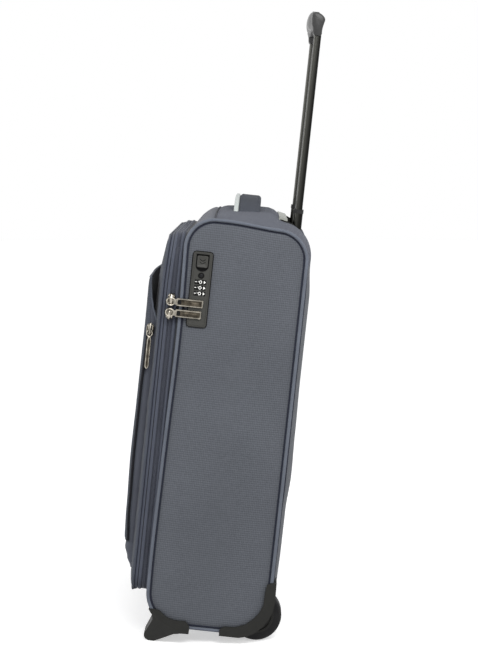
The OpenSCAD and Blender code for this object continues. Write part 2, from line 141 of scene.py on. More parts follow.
def steps(low, high, spacing):
    count = max(1, math.ceil(abs(high - low) / spacing))
    return [mix(low, high, i / count) for i in range(count + 1)]


def round_points(x, y, radius, count, across=None):
    """Points round a circle or ellipse about (x, y)."""
    across = radius if across is None else across
    return [(x + radius * math.cos(2 * math.pi * k / count), y + across * math.sin(2 * math.pi * k / count))
            for k in range(count)]


# ---- Outlines ----
class Outline:
    """A rectangle with round corners, walked from its lower left corner up and round."""

    def __init__(self, p0, p1, h0, h1, r_top, r_low):
        self.low, self.high = (p0, h0), (p1, h1)
        self.r_top, self.r_low = r_top, r_low
        top, low = math.pi / 2 * r_top, math.pi / 2 * r_low
        upright, upper, lower = h1 - h0 - r_top - r_low, p1 - p0 - 2 * r_top, p1 - p0 - 2 * r_low
        self.runs = [
            (upright, (p0, h0 + r_low), (0, 1), 0), (top, (p0 + r_top, h1 - r_top), 180, r_top),
            (upper, (p0 + r_top, h1), (1, 0), 0), (top, (p1 - r_top, h1 - r_top), 90, r_top),
            (upright, (p1, h1 - r_top), (0, -1), 0), (low, (p1 - r_low, h0 + r_low), 0, r_low),
            (lower, (p1 - r_low, h0), (-1, 0), 0), (low, (p0 + r_low, h0 + r_low), -90, r_low)]
        self.starts = [sum(run[0] for run in self.runs[:i]) for i in range(9)]
        self.length = self.starts[8]

    def at(self, s):
        """The point at distance s and the outward normal there."""
        s %= self.length
        i = max(k for k in range(8) if self.starts[k] <= s + 1e-9)
        length, place, way, radius = self.runs[i]
        along = s - self.starts[i]
        if radius == 0:
            return (place[0] + way[0] * along, place[1] + way[1] * along), (-way[1], way[0])
        angle = math.radians(way) - along / radius
        n = (math.cos(angle), math.sin(angle))
        return (place[0] + radius * n[0], place[1] + radius * n[1]), n

    def front(self, h):
        return h - self.low[1] - self.r_low

    def top(self, p):
        return self.starts[2] + p - self.low[0] - self.r_top

    def back(self, h):
        return self.starts[4] + self.high[1] - self.r_top - h

    def bottom(self, p):
        return self.starts[6] + self.high[0] - self.r_low - p

    def stations(self, s0, s1, straight=7.0, round_step=3.0):
        """Distances from s0 to s1, closer together round the corners."""
        marks = {s0, s1} | {s + lap * self.length for lap in (-1, 0, 1) for s in self.starts[:8]
                            if s0 < s + lap * self.length < s1}
        marks, found = sorted(marks), [s0]
        for low, high in zip(marks, marks[1:]):
            middle = (low + high) / 2 % self.length
            run = max(k for k in range(8) if self.starts[k] <= middle)
            found += steps(low, high, round_step if self.runs[run][3] else straight)[1:]
        return found

    def span(self, h, inset):
        """The outline's two sides at height h, after it has shrunk by inset."""
        cut = 0.0
        for r, edge in ((self.r_top - inset, self.high[1] - inset - h), (self.r_low - inset, h - self.low[1] - inset)):
            if edge < r:
                cut = max(cut, r - math.sqrt(max(0.0, r * r - (r - edge) ** 2)))
        return self.low[0] + inset + cut, self.high[0] - inset - cut

    def depth(self, p, h):
        """How far inside the outline a point lies."""
        middle = ((self.low[0] + self.high[0]) / 2, (self.low[1] + self.high[1]) / 2)
        r = self.r_top if h > middle[1] else self.r_low
        dx = abs(p - middle[0]) - (self.high[0] - self.low[0]) / 2 + r
        dy = abs(h - middle[1]) - (self.high[1] - self.low[1]) / 2 + r
        return r - math.hypot(max(dx, 0), max(dy, 0)) - min(max(dx, dy), 0)


BODY = Outline(BODY_FRONT, BODY_BACK, BODY_BOTTOM, BODY_TOP, 36, 41)
LID_DROP = 4.5  # the lid's lower edge hangs this far below its CAD solid
LID = Outline(LID_LOW.x, LID_HIGH.x, LID_LOW.z - LID_DROP, LID_HIGH.z, 34, 27)


# ---- How the stuffed case departs from its straight CAD outline ----
def slump_body(p):
    """The front edge bows back and the rear top corner sinks, as in a soft case."""
    x, a, h = p
    bow = 3.6 * math.exp(-((h - 385) / 120) ** 2) - 1.5 * math.exp(-((h - 100) / 80) ** 2)
    sink = 4.5 * smooth(a, -20, 50) * smooth(h, 430, 505) * min(1.0, abs(x) / BODY_HALF) ** 2
    return (x, a + bow * smooth(a, 20, -60), h - sink)


def slump_lid(p):
    """The lid's top slopes down to its front, and leans back a little."""
    x, a, h = p
    forward = smooth(a, -78, -92)
    return (x, a + 2.0 * smooth(h, 430, 500), h - 7 * forward * smooth(h, 400, 495))


# ---- Mesh making ----
def add(name, data):
    """A new object in the scene."""
    obj = bpy.data.objects.new(name, data)
    SCENE.collection.objects.link(obj)
    return obj


def make(name, shape, materials, body="case", replaces=(), slump=None, sharp=40, check=True):
    """A piece from a shape in the case's frame, riding on a body; edges over sharp degrees stay crisp."""
    points, faces, cloth, kinds = (*shape, None, None)[:4]
    if slump:
        points = [slump(p) for p in points]
    mesh = bpy.data.meshes.new(name)
    mesh.from_pydata([to_row(*p) for p in points], [], faces)
    if cloth:
        layer = mesh.attributes.new("cloth", "FLOAT_VECTOR", "POINT")
        layer.data.foreach_set("vector", [c for u, v in cloth for c in (u / 1000, v / 1000, 0.0)])
    for material in materials if isinstance(materials, list) else [materials]:
        mesh.materials.append(material)
    if kinds:
        mesh.polygons.foreach_set("material_index", kinds)
    if check:
        bm = bmesh.new()
        bm.from_mesh(mesh)
        bmesh.ops.recalc_face_normals(bm, faces=bm.faces)
        bm.to_mesh(mesh)
        bm.free()
    obj = add(name, mesh)
    mesh.shade_smooth()
    mesh.set_sharp_from_angle(angle=math.radians(sharp))
    if body:
        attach(obj, body)
    if replaces:
        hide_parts(*replaces)
    return obj


def run_length(points):
    """The distance along a line of points, at each of them."""
    found = [0.0]
    for p, q in zip(points, points[1:]):
        found.append(found[-1] + math.dist(p, q))
    return found


def slab(us, vs, surface, cloth=None, plan=None):
    """A closed sheet between surface(u, v, 0), its outside, and surface(u, v, 1), its inside.

    cloth(u, v) gives the cloth's place, or plan the two axes along which it is measured. The
    kind is 0 on the outer surface and round the rim, and 1 on the inner surface.
    """
    m, n = len(us), len(vs)
    back = m * n
    points = [surface(u, v, side) for side in (0, 1) for u in us for v in vs]
    if plan:
        flat = [(p[plan[0]], p[plan[1]]) for p in points]
    elif cloth:
        flat = [cloth(u, v) for u in us for v in vs] * 2
    else:
        along_u = run_length([surface(u, vs[n // 2], 0) for u in us])
        along_v = run_length([surface(us[m // 2], v, 0) for v in vs])
        flat = [(u, v) for u in along_u for v in along_v] * 2
    faces = []
    for k in (i * n + j for i in range(m - 1) for j in range(n - 1)):
        faces += [(k, k + n, k + n + 1, k + 1), (back + k, back + k + 1, back + k + n + 1, back + k + n)]
    kinds = [0, 1] * (len(faces) // 2)
    rim = ([j for j in range(n)] + [i * n + n - 1 for i in range(1, m)]
           + [(m - 1) * n + j for j in range(n - 2, -1, -1)] + [i * n for i in range(m - 2, 0, -1)])
    faces += [(k, nxt, back + nxt, back + k) for k, nxt in zip(rim, rim[1:] + rim[:1])]
    return points, faces, flat, kinds + [0] * len(rim)


def skin(rows, n, closed=False):
    """Faces along rows of n points, each a ring; both ends are capped unless the rows close up too."""
    faces = [(i * n + j, (i + 1) % rows * n + j, (i + 1) % rows * n + (j + 1) % n, i * n + (j + 1) % n)
             for i in range(rows if closed else rows - 1) for j in range(n)]
    return faces if closed else faces + [tuple(range(n)), tuple(range((rows - 1) * n, rows * n))]


def sweep(outline, profile, lift, stations=None):
    """A closed profile of (outward, across) points, swept along an outline or right round it.

    lift turns (point on the outline, outward normal, outward, across) into a case point.
    """
    closed = stations is None
    stations = outline.stations(0, outline.length)[:-1] if closed else stations
    around = run_length(profile + profile[:1])
    points = [lift(*outline.at(s), out, across) for s in stations for out, across in profile]
    flat = [(s, around[j]) for s in stations for j in range(len(profile))]
    return points, skin(len(stations), len(profile), closed), flat


def side_lift(point, normal, out, across):
    return (across, point[0] + normal[0] * out, point[1] + normal[1] * out)


def front_lift(point, normal, out, across):
    return (point[0] + normal[0] * out, across, point[1] + normal[1] * out)


def tube(points, radius, count=8):
    """A round bar along a line of case points."""
    line = [Vector(p) for p in points]
    found, flat, along, side = [], [], run_length(points), None
    for i, p in enumerate(line):
        way = (line[min(i + 1, len(line) - 1)] - line[max(i - 1, 0)]).normalized()
        if side is None:
            side = way.orthogonal()
        side = (side - way * side.dot(way)).normalized()
        other = way.cross(side)
        for angle in (2 * math.pi * k / count for k in range(count)):
            found.append(tuple(p + radius * (math.cos(angle) * side + math.sin(angle) * other)))
            flat.append((along[i], radius * angle))
    return found, skin(len(line), count), flat


def stack(rings, closed=False):
    """A solid whose skin joins rings of points, all of the same count."""
    return [p for ring in rings for p in ring], skin(len(rings), len(rings[0]), closed)


def prism(outline, outs, lift):
    """A flat solid: the outline's points (a, h) lifted to the first and the second of outs."""
    return stack([[lift(*p, out) for p in outline] for out in outs])


def join(*parts):
    """Several shapes as one; cloth and kinds are kept where all have them."""
    points, *rest = [[] for _ in range(4)]
    for part in parts:
        start = len(points)
        points += part[0]
        rest[0] += [tuple(start + k for k in face) for face in part[1]]
        for kept, more in zip(rest[1:], part[2:]):
            kept += more
    return points, *rest


# ---- Materials ----
def srgb(r, g, b):
    """A colour given as 0 to 255 screen values, made linear."""
    return tuple((c / 255 / 12.92 if c <= 10 else ((c / 255 + 0.055) / 1.055) ** 2.4) for c in (r, g, b)) + (1,)


class Nodes:
    """A node tree, with short calls to add nodes and link them."""

    def __init__(self, tree):
        self.tree = tree

    def set(self, node, **sockets):
        for name, value in sockets.items():
            node.inputs[name.replace("_", " ")].default_value = value

    def node(self, kind, *inputs, **settings):
        found = self.tree.nodes.new("ShaderNode" + kind)
        for name, value in settings.items():
            setattr(found, name, value)
        for place, value in enumerate(inputs):
            if isinstance(value, bpy.types.NodeSocket):
                self.tree.links.new(value, found.inputs[place])
            elif value is not None:
                found.inputs[place].default_value = value
        return found

    def math(self, operation, *inputs):
        return self.node("Math", *inputs, operation=operation).outputs[0]

    def plus(self, a, b):
        return self.math("ADD", a, b)

    def times(self, a, b):
        return self.math("MULTIPLY", a, b)

    def remap(self, value, low, high, to_low, to_high):
        return self.node("MapRange", value, low, high, to_low, to_high).outputs[0]


class Finish(Nodes):
    """A material, with calls for its cloth, noise, tint and bump.

    Its colour is three screen values, or four linear ones.
    """

    def __init__(self, name, colour, roughness, **sockets):
        self.material = bpy.data.materials.new(name)
        self.material.use_nodes = True
        super().__init__(self.material.node_tree)
        self.shader = self.tree.nodes["Principled BSDF"]
        self.set(self.shader, Roughness=roughness, **sockets)
        self.colour = colour if len(colour) == 4 else srgb(*colour)
        self.shader.inputs["Base Color"].default_value = self.material.diffuse_color = self.colour

    def link(self, value, socket):
        self.tree.links.new(value, self.shader.inputs[socket])

    def place(self):
        """The point on the piece, in metres, as the row frame has it."""
        return self.node("TexCoord").outputs["Object"]

    def cloth(self):
        """(u, v) along the cloth, in metres."""
        split = self.node("SeparateXYZ", self.node("Attribute", attribute_name="cloth").outputs["Vector"])
        return split.outputs[0], split.outputs[1]

    def noise(self, scale, detail=2.0, vector=None):
        found = self.node("TexNoise", vector or self.place())
        self.set(found, Scale=scale, Detail=detail)
        return found.outputs["Fac"]

    def spots(self, scale, detail, to_low, to_high, low=0.3, high=0.7):
        return self.remap(self.noise(scale, detail), low, high, to_low, to_high)

    def tint(self, *shades):
        """Multiplies the base colour by each shade in turn and links it to the shader."""
        total = shades[0]
        for value in shades[1:]:
            total = self.times(total, value)
        grey = self.node("CombineXYZ", total, total, total).outputs[0]
        self.link(self.node("MixRGB", 1.0, self.colour, grey, blend_type="MULTIPLY").outputs[0], "Base Color")

    def bump(self, height, strength, distance):
        found = self.node("Bump")
        self.set(found, Strength=strength, Distance=distance)
        self.tree.links.new(height, found.inputs["Height"])
        self.link(found.outputs[0], "Normal")

    def waves(self, value, pitch):
        """A ridge of height 0 to 1 that repeats every pitch, in metres."""
        return self.math("ABSOLUTE", self.math("SINE", self.times(value, math.pi / pitch)))


def woven(name, colour, pitch_u, pitch_v, depth, contrast, diagonal=False, sheen=0.07):
    """Woven cloth: yarns in both directions, a little uneven, with a soft sheen."""
    finish = Finish(name, colour, 0.8, Sheen_Weight=sheen, Sheen_Roughness=0.5, Specular_IOR_Level=1.2 * sheen)
    u, v = finish.cloth()
    if diagonal:
        u, v = finish.plus(u, v), finish.math("SUBTRACT", u, v)
    across, along = finish.waves(u, pitch_u), finish.waves(v, pitch_v)
    yarn = finish.plus(finish.times(across, 0.46), finish.times(along, 0.54))
    finish.tint(finish.spots(9, 3, 0.93, 1.07), finish.spots(420, 1, 0.93, 1.07),
                finish.remap(yarn, 0.0, 1.0, 1 - contrast, 1 + contrast * 0.35))
    finish.bump(finish.plus(yarn, finish.times(finish.noise(900, 1), 0.4)), 0.55, depth)
    finish.link(finish.spots(60, 2, 0.72, 0.88), "Roughness")
    return finish.material


def smooth_cloth(name, colour, ribs=0.0012, contrast=0.1):
    """Fine plain cloth or tape, with close ribs along v."""
    finish = Finish(name, colour, 0.78, Sheen_Weight=0.08, Sheen_Roughness=0.5, Specular_IOR_Level=0.15)
    rib = finish.waves(finish.cloth()[1], ribs)
    finish.tint(finish.spots(14, 3, 0.92, 1.08), finish.remap(rib, 0, 1, 1 - contrast, 1 + contrast * 0.5))
    finish.bump(finish.plus(rib, finish.noise(700, 2)), 0.35, 0.0002)
    return finish.material


def stitched(name, colour):
    """Piping: cloth wrapped on the bias round a cord, with slanting yarns."""
    finish = Finish(name, colour, 0.7, Sheen_Weight=0.12, Sheen_Roughness=0.4, Specular_IOR_Level=0.2)
    slant = finish.waves(finish.plus(*finish.cloth()), 0.0013)
    finish.tint(finish.spots(40, 3, 0.9, 1.1), finish.remap(slant, 0, 1, 0.86, 1.06))
    finish.bump(slant, 0.5, 0.0003)
    return finish.material


def moulded(name, colour, roughness, grain=1400, depth=0.00008, wear=0.12, gloss=0.45):
    """Moulded plastic with a fine grain, slightly uneven and a little polished by use."""
    finish = Finish(name, colour, roughness, Specular_IOR_Level=gloss)
    finish.tint(finish.spots(22, 3, 1 - wear / 2, 1 + wear), finish.spots(grain, 1, 0.94, 1.06, 0.35, 0.65))
    finish.bump(finish.noise(grain, 2), 0.3, depth)
    finish.link(finish.spots(35, 3, roughness - 0.07, roughness + 0.08), "Roughness")
    return finish.material


def metal(name, colour, roughness, streaks=(30, 30, 1200), wear=0.25):
    """Metal with fine drawn or brushed streaks and slight tarnish."""
    finish = Finish(name, colour, roughness, Metallic=1.0)
    stretch = finish.node("Mapping", finish.place())
    stretch.inputs["Scale"].default_value = streaks
    lines = finish.noise(1.0, 3, stretch.outputs[0])
    finish.tint(finish.spots(160, 3, 1 - wear, 1 + wear * 0.3))
    finish.link(finish.remap(lines, 0.3, 0.7, roughness - 0.08, roughness + 0.1), "Roughness")
    finish.bump(lines, 0.15, 0.00005)
    return finish.material


def painted_reflection_tube(name, a0, a1):
    """Black anodised tube with painted reflection: its colour runs from a painted highlight band near the front to
    painted shade at the back.
    """
    finish = Finish(name, (60, 60, 57), 0.3, Metallic=1.0)
    way = (0, math.cos(LEAN), -math.sin(LEAN))
    along = finish.node("VectorMath", finish.place(), way, operation="DOT_PRODUCT").outputs["Value"]
    zero = ORIGIN_Y * math.cos(LEAN)
    ramp = finish.node("ValToRGB", finish.remap(along, zero + a0 / 1000, zero + a1 / 1000, 0.0, 1.0))
    # Painted reflection across the tube's depth: a painted highlight near the front, then painted shade darkening
    # towards the back.
    stops = [(0.0, 44), (0.05, 66), (0.09, 100), (0.13, 68), (0.36, 60), (0.55, 44), (0.75, 31), (1.0, 27)]
    elements = ramp.color_ramp.elements
    while len(elements) < len(stops):
        elements.new(0.5)
    for element, (place, value) in zip(elements, stops):
        element.position, element.color = place, srgb(value, value, value * 0.95)
    finish.link(ramp.outputs[0], "Base Color")
    return finish.material


FABRIC = woven("panel_weave", (86, 89, 95), 0.0022, 0.0027, 0.0004, 0.36)
DOBBY = woven("gusset_weave", (90, 93, 102), 0.0042, 0.0042, 0.0006, 0.45, True, 0.04)
HANDLE_CLOTH = woven("handle_weave", (71, 74, 81), 0.003, 0.003, 0.0006, 0.4, True, 0.03)
POCKET_CLOTH = smooth_cloth("pocket_cloth", (82, 85, 94))
LID_CLOTH = woven("lid_weave", (73, 77, 85), 0.0022, 0.0027, 0.0005, 0.34)
LID_PIPING = stitched("lid_piping_cloth", (70, 74, 84))
TAPE = smooth_cloth("zip_tape", (73, 77, 88), 0.0017, 0.3)
PIPING = stitched("piping_cloth", (92, 97, 107))
# Dark colour for the seams' crevices beside the piping and along the top seam: painted shade.
SEAM_SHADE = smooth_cloth("seam_painted_shade", (34, 37, 48), 0.0008)
LINING = smooth_cloth("lining", (64, 66, 70), 0.003, 0.16)
# Dark pocket colour: partly the pocket's lining, partly painted shade inside the pocket, also on the lid's face behind
# it.
POCKET_LINING_SHADE = smooth_cloth("pocket_lining_painted_shade", (36, 40, 52), 0.002)
ZIP_CLOTH = smooth_cloth("pocket_zip_cloth", (22, 23, 28), 0.0008)
COIL = moulded("zip_coil", (66, 69, 79), 0.5, wear=0.2, gloss=0.3)
THREAD = smooth_cloth("thread", (58, 61, 72), 0.0006)
CORNER = moulded("corner_plastic", (31, 31, 29), 0.55, gloss=0.2)
LOCK = moulded("lock_plastic", (52, 52, 49), 0.5, wear=0.08, gloss=0.3)
RECESS = moulded("lock_recess", (13, 13, 13), 0.6, gloss=0.15)
BOARD = moulded("board", (40, 40, 40), 0.8, grain=500, depth=0.0003)
# The tubes' colour carries painted reflection and painted shade.
PAINTED_TUBES = painted_reflection_tube("black_tube", *(end.y for end in case_box("inner_tubes")))
HOOP = metal("hoop_steel", (44, 44, 46), 0.4)
GRIP = moulded("grip_plastic", (43, 43, 43), 0.36, grain=2200, depth=0.00002, wear=0.05, gloss=0.35)
COLLAR = moulded("collar_plastic", (30, 30, 30), 0.45, gloss=0.25)
PULLS = metal("pull_metal", (176, 170, 158), 0.26, (200, 200, 200), 0.5)
DARK_METAL = metal("pull_recess", (84, 78, 68), 0.45, (900, 900, 900), 0.7)
STEEL = metal("steel", (170, 170, 172), 0.3)
# The handle trim's light grey is a painted highlight along the handle's front face.
TRIM_HIGHLIGHT = moulded("light_trim", (176, 181, 179), 0.42, grain=700, wear=0.06)
# The cup lip's light grey is a painted highlight on the handle cup's rim.
LIP_HIGHLIGHT = moulded("cup_lip", (146, 148, 141), 0.4, grain=900, wear=0.1)
RUBBER = moulded("tyre_rubber", (22, 22, 23), 0.62, grain=800, depth=0.00012, gloss=0.2)
DIAL = moulded("dial_plastic", (8, 8, 8), 0.5, gloss=0.15)
WHITE = moulded("white_print", (236, 236, 232), 0.5, wear=0.03)

# ---- Body fabric ----
TOP_CROWN = [(-66, 3), (-39, 6.6), (-21, 10.4), (20, 13.5), (31, 13.5), (50, 4), (80, 2)]
BACK_CROWN = [(60, 7.5), (120, 9), (165, 9.2), (210, 12), (260, 11), (330, 10), (430, 10), (475, 6.5)]
CUP_CUT, CUP_FOOT, CUP_SIDE = CUP_LOW.y - 0.4, CUP_LOW.z - 0.3, CUP_HIGH.x + 0.4
WELL_SIDE, WELL_FRONT, WELL_TOP = HOUSING_LOW.x - 0.4, HOUSING_LOW.y + 2, HOUSING_HIGH.z - 2
TOP_SEAM = -36


def crown(x, a, h, normal):
    """How far the stuffed gusset bulges: low over the top's front, full behind the handle and at the back."""
    spread = min(1.0, abs(x) / BODY_HALF)
    soft, square, back = 1 - spread ** 3, 1 - spread ** 8, curve(BACK_CROWN, h)
    return (curve(TOP_CROWN, a) * soft * max(0.0, normal[1]) ** 1.5
            + back * square * max(0.0, normal[0]) ** 1.5 + 2 * soft * max(0.0, -normal[1]) ** 1.5)


def gusset(name, s0, s1, material, replaces=(), seams=(), x0=-BODY_HALF, x1=BODY_HALF):
    """A stretch of the fabric that runs round the body between the two side panels, sunk at its seams."""

    def surface(s, x, side):
        (a, h), n = BODY.at(s)
        out = crown(x, a, h, n) - side * WALL
        for seam in seams:
            out -= 1.4 * (1 - smooth(abs(s - seam), 0, 6))
        return (x, a + n[0] * out, h + n[1] * out)

    stations = BODY.stations(s0, s1)
    if seams:
        stations = sorted({*stations, s0 + 1, s0 + 2.5, s0 + 4.5, s1 - 1, s1 - 2.5, s1 - 4.5})
    half = x1 - x0
    edge = [x0, x0 + min(4, half / 8), x0 + min(9, half / 5)]
    xs = edge + steps(x0 + min(16, half / 3), x1 - min(16, half / 3), 12) + [x0 + x1 - x for x in reversed(edge)]
    make(name, slab(stations, xs, surface, lambda s, x: (x, s)), [material, LINING], replaces=replaces,
         slump=slump_body)


gusset("top_front", BODY.front(BODY_TOP - 70), BODY.top(TOP_SEAM), POCKET_CLOTH, (), [BODY.top(TOP_SEAM)])
gusset("top_fabric", BODY.top(TOP_SEAM), BODY.top(CUP_CUT), DOBBY, ["top_panel"], [BODY.top(TOP_SEAM)])
gusset("top_rear_right", BODY.top(CUP_CUT), BODY.back(CUP_FOOT), DOBBY, x0=CUP_SIDE)
gusset("top_rear_left", BODY.top(CUP_CUT), BODY.back(CUP_FOOT), DOBBY, x1=-CUP_SIDE)
gusset("back_fabric", BODY.back(CUP_FOOT), BODY.back(WELL_TOP), FABRIC, ["back_panel"])
gusset("back_low", BODY.back(WELL_TOP), BODY.bottom(WELL_FRONT), FABRIC, x0=-WELL_SIDE, x1=WELL_SIDE)
gusset("bottom_fabric", BODY.bottom(WELL_FRONT), BODY.length, FABRIC, ["bottom_panel"])

# A dark line along the top seam: painted shade in its dip.
(a, h), n = BODY.at(BODY.top(TOP_SEAM))
line = []
for x in steps(-BODY_HALF + 2, BODY_HALF - 2, 9):
    out = crown(x, a, h, n) - 0.9
    line.append((x, a + n[0] * out, h + n[1] * out))
make("top_seam", tube(line, 1.0), SEAM_SHADE, slump=slump_body)


# ---- Padded pieces swell as cloth under pressure, held where they are sewn down ----
def swell(obj, sewn, pressure, cap, frames=14):
    """Runs the piece as cloth and keeps the result; sewn(x, a, h) is true for points that stay in place.

    Every point of a slab's inner surface stays too, and none moves more than cap millimetres.
    """
    rest = [v.co.copy() for v in obj.data.vertices]
    group = obj.vertex_groups.new(name="sewn")
    half = len(rest) // 2
    group.add([i for i, co in enumerate(rest) if i >= half or sewn(*(INTO_CASE @ co))], 1.0, "REPLACE")
    cloth = obj.modifiers.new("swell", "CLOTH")
    cloth.settings.vertex_group_mass = "sewn"
    cloth.settings.mass = 0.0005
    cloth.settings.use_pressure = True
    cloth.settings.uniform_pressure_force = pressure
    cloth.settings.effector_weights.gravity = 0
    cloth.settings.quality = 4
    cloth.collision_settings.use_collision = False
    cloth.point_cache.frame_start, cloth.point_cache.frame_end = 1, frames
    for number in range(1, frames + 1):
        SCENE.frame_set(number)
    moved = obj.evaluated_get(bpy.context.evaluated_depsgraph_get()).data
    found = [v.co.copy() for v in moved.vertices]
    obj.modifiers.remove(cloth)
    obj.vertex_groups.remove(group)
    SCENE.frame_set(1)
    for vertex, before, after in zip(obj.data.vertices, rest, found):
        step = after - before
        if step.length * 1000 > cap:
            step *= cap / (step.length * 1000)
        vertex.co = before + step


def with_lines(values, added, room):
    """The values with more added, and without those closer to an added one than room."""
    return sorted([v for v in values if all(abs(v - new) > room for new in added)] + added)


def pierce(shape, inside):
    """Cuts the hole where inside(a, h) is true through a slab, and closes the hole's rim."""
    points, faces, flat, kinds = shape
    half = len(points) // 2
    kept = [(face, kind) for face, kind in zip(faces, kinds)
            if not inside(*(sum(points[k][i] for k in face) / len(face) for i in (1, 2)))]
    edges = {}
    for face, kind in kept:
        for p, q in zip(face, face[1:] + face[:1]):
            edges.setdefault((min(p, q), max(p, q)), []).append((p, q))
    rim = [(q, p, p + half, q + half) for found in edges.values() if len(found) == 1
           for p, q in found if p < half and q < half]
    return points, [face for face, kind in kept] + rim, flat, [kind for face, kind in kept] + [0] * len(rim)


def side_panel(side, sign):
    """A padded side panel: sunk at its seam, full within a finger's width, and crowned in the middle."""
    inset = 4.4
    low, high = BODY.low[1] + inset, BODY.high[1] - inset

    def surface(h, t, side):
        a = mix(*BODY.span(h, inset), t)
        puff = 1.9 * (1 - math.exp(-max(0.0, BODY.depth(a, h) - inset) / 3.2))
        belly = 0.0
        if low < h < high:
            belly = (3.4 * smooth(a, -34, 10) * smooth(a, BODY_BACK, 30)
                     * math.sin(math.pi * (h - low) / (high - low)) ** 0.6)
        return (sign * (SIDE_HIGH.x - 1.7 + (-1.8 if side else puff + belly)), a, h)

    near = [0, 0.6, 1.4, 2.6, 4.4, 7, 10, 14, 19, 25, 33]
    hs = [low + d for d in near] + steps(low + 41, high - 36, 9) + [high - d for d in reversed(near[:-1])]
    near = [d / 300 for d in (0, 1, 2.4, 4.6, 8, 13, 20, 30)]
    ts = near + steps(0.13, 0.87, 0.045) + [1 - t for t in reversed(near)]
    a0, a1 = BODY.span((PLATE_LOW.z + PLATE_HIGH.z) / 2, inset)
    hole_a, hole_h = (DIALS_LOW.y - 4, DIALS_HIGH.y + 2), (DIALS_LOW.z - 1, DIALS_HIGH.z + 1)
    shape = slab(with_lines(hs, [*hole_h], 5), with_lines(ts, [(a - a0) / (a1 - a0) for a in hole_a], 0.018),
                 surface, plan=(1, 2))
    if sign > 0:
        shape = pierce(shape, lambda a, h: hole_a[0] < a < hole_a[1] and hole_h[0] < h < hole_h[1])
    panel = make(f"side_{side}", shape, [FABRIC, LINING], replaces=[f"side_panel_{side}"], slump=slump_body)

    def sewn(x, a, h):
        by_lock = sign > 0 and PLATE_LOW.y - 5 < a < PLATE_HIGH.y + 5 and PLATE_LOW.z - 8 < h < PLATE_HIGH.z + 8
        return by_lock or BODY.depth(a, h) < inset + 9

    swell(panel, sewn, 1.2, 1.6)


def seam_lift(point, normal, out, across):
    """As side_lift, but never further out than the gusset beside the seam."""
    return side_lift(point, normal, min(out, 0.4 + crown(BODY_HALF - 6, *point, normal)), across)


for side, sign in (("right", 1), ("left", -1)):
    side_panel(side, sign)
    x = sign * (PIPING_HIGH.x - PIPE - 0.4)
    make(f"body_piping_{side}", sweep(BODY, round_points(-0.4, x, PIPE, 10), side_lift), PIPING, "case",
         ["piping"] if sign > 0 else (), slump_body)
    # The dark strips beside the piping are painted shade in the crevice.
    dark = [(-2.4, x - sign * 2.6), (-2.4, x - sign * 0.9), (-6.5, x - sign * 1.2), (-6.5, x - sign * 3.2)]
    outer = [(3.2, x - sign * 4.4), (3.2, x - sign * 1.6), (1.2, x - sign * 0.8), (-2.0, x - sign * 4.4)]
    make(f"seam_{side}", join(sweep(BODY, dark, side_lift), sweep(BODY, outer, seam_lift)), SEAM_SHADE, slump=slump_body)

# ---- Zip between body and lid ----
# The zip runs round the lid from the lower to the upper end of the hinge, which is on the left.
HINGE_LOW, HINGE_HIGH = LID.low[1] + LID.r_low + 2, LID.high[1] - LID.r_top - 2
ZIP_START, ZIP_END = LID.front(HINGE_HIGH), LID.length + LID.front(HINGE_LOW)
ZIP_RUN = LID.stations(ZIP_START, ZIP_END)
COIL_LINE = case_box("zip_frame")[0].y - 0.2  # where the two rows of teeth meet
TOOTH_PITCH = 2.4


def zip_band(name, a0, a1, body, replaces, bulge, slump):
    """One tape of the zip: a soft fold beside the coil, with a stitched edge."""
    profile = [(-2.2, a0), (-1.0 + bulge * 0.4, mix(a0, a1, 0.16)), (-0.8 + bulge, (a0 + a1) / 2),
               (-1.0 + bulge * 0.4, mix(a0, a1, 0.84)), (-2.2, a1), (-6, a1), (-6, a0)]
    make(name, sweep(LID, profile, front_lift, ZIP_RUN), TAPE, body, replaces=replaces, slump=slump)


def teeth(name, first, a0, a1, body):
    """Every second tooth of the coil, each a small rounded bar across the zip."""
    parts, s = [], ZIP_START + 2 + first * TOOTH_PITCH / 2
    while s < ZIP_END - 2:
        (x, h), n = LID.at(s)
        rings = []
        for a, size in ((a0, 0.55), (mix(a0, a1, 0.15), 0.85), (mix(a0, a1, 0.85), 0.85), (a1, 0.55)):
            ring = []
            for u, v in ((-1, -1.2), (1, -1.2), (1, 0.25), (0.45, 0.7), (-0.45, 0.7), (-1, 0.25)):
                along, out = u * size * 0.62, -2.0 + v * size * 1.25
                ring.append((x + n[0] * out + n[1] * along, a, h + n[1] * out - n[0] * along))
            rings.append(ring)
        parts.append(stack(rings))
        s += TOOTH_PITCH
    make(name, join(*parts), COIL, body)


zip_band("zip_tape_body", COIL_LINE + 2.6, BODY_FRONT + 0.4, "case", ["zip_frame"], 0.9, None)
zip_band("zip_tape_lid", LID_HIGH.y + 0.2, COIL_LINE - 2.6, "lid", ["zip_lid_half"], 0.7, slump_lid)
for name, a0, a1, body, bend in (("zip_core_body", COIL_LINE + 0.1, COIL_LINE + 2.9, "case", None),
                                 ("zip_core_lid", COIL_LINE - 2.9, COIL_LINE - 0.1, "lid", slump_lid)):
    make(name, sweep(LID, [(-2.9, a0), (-2.9, a1), (-4.2, a1), (-4.2, a0)], front_lift, ZIP_RUN), TAPE, body,
         slump=bend)
teeth("zip_teeth_body", 0, COIL_LINE - 1.9, COIL_LINE + 2.9, "case")
teeth("zip_teeth_lid", 1, COIL_LINE - 2.9, COIL_LINE + 1.6, "lid")


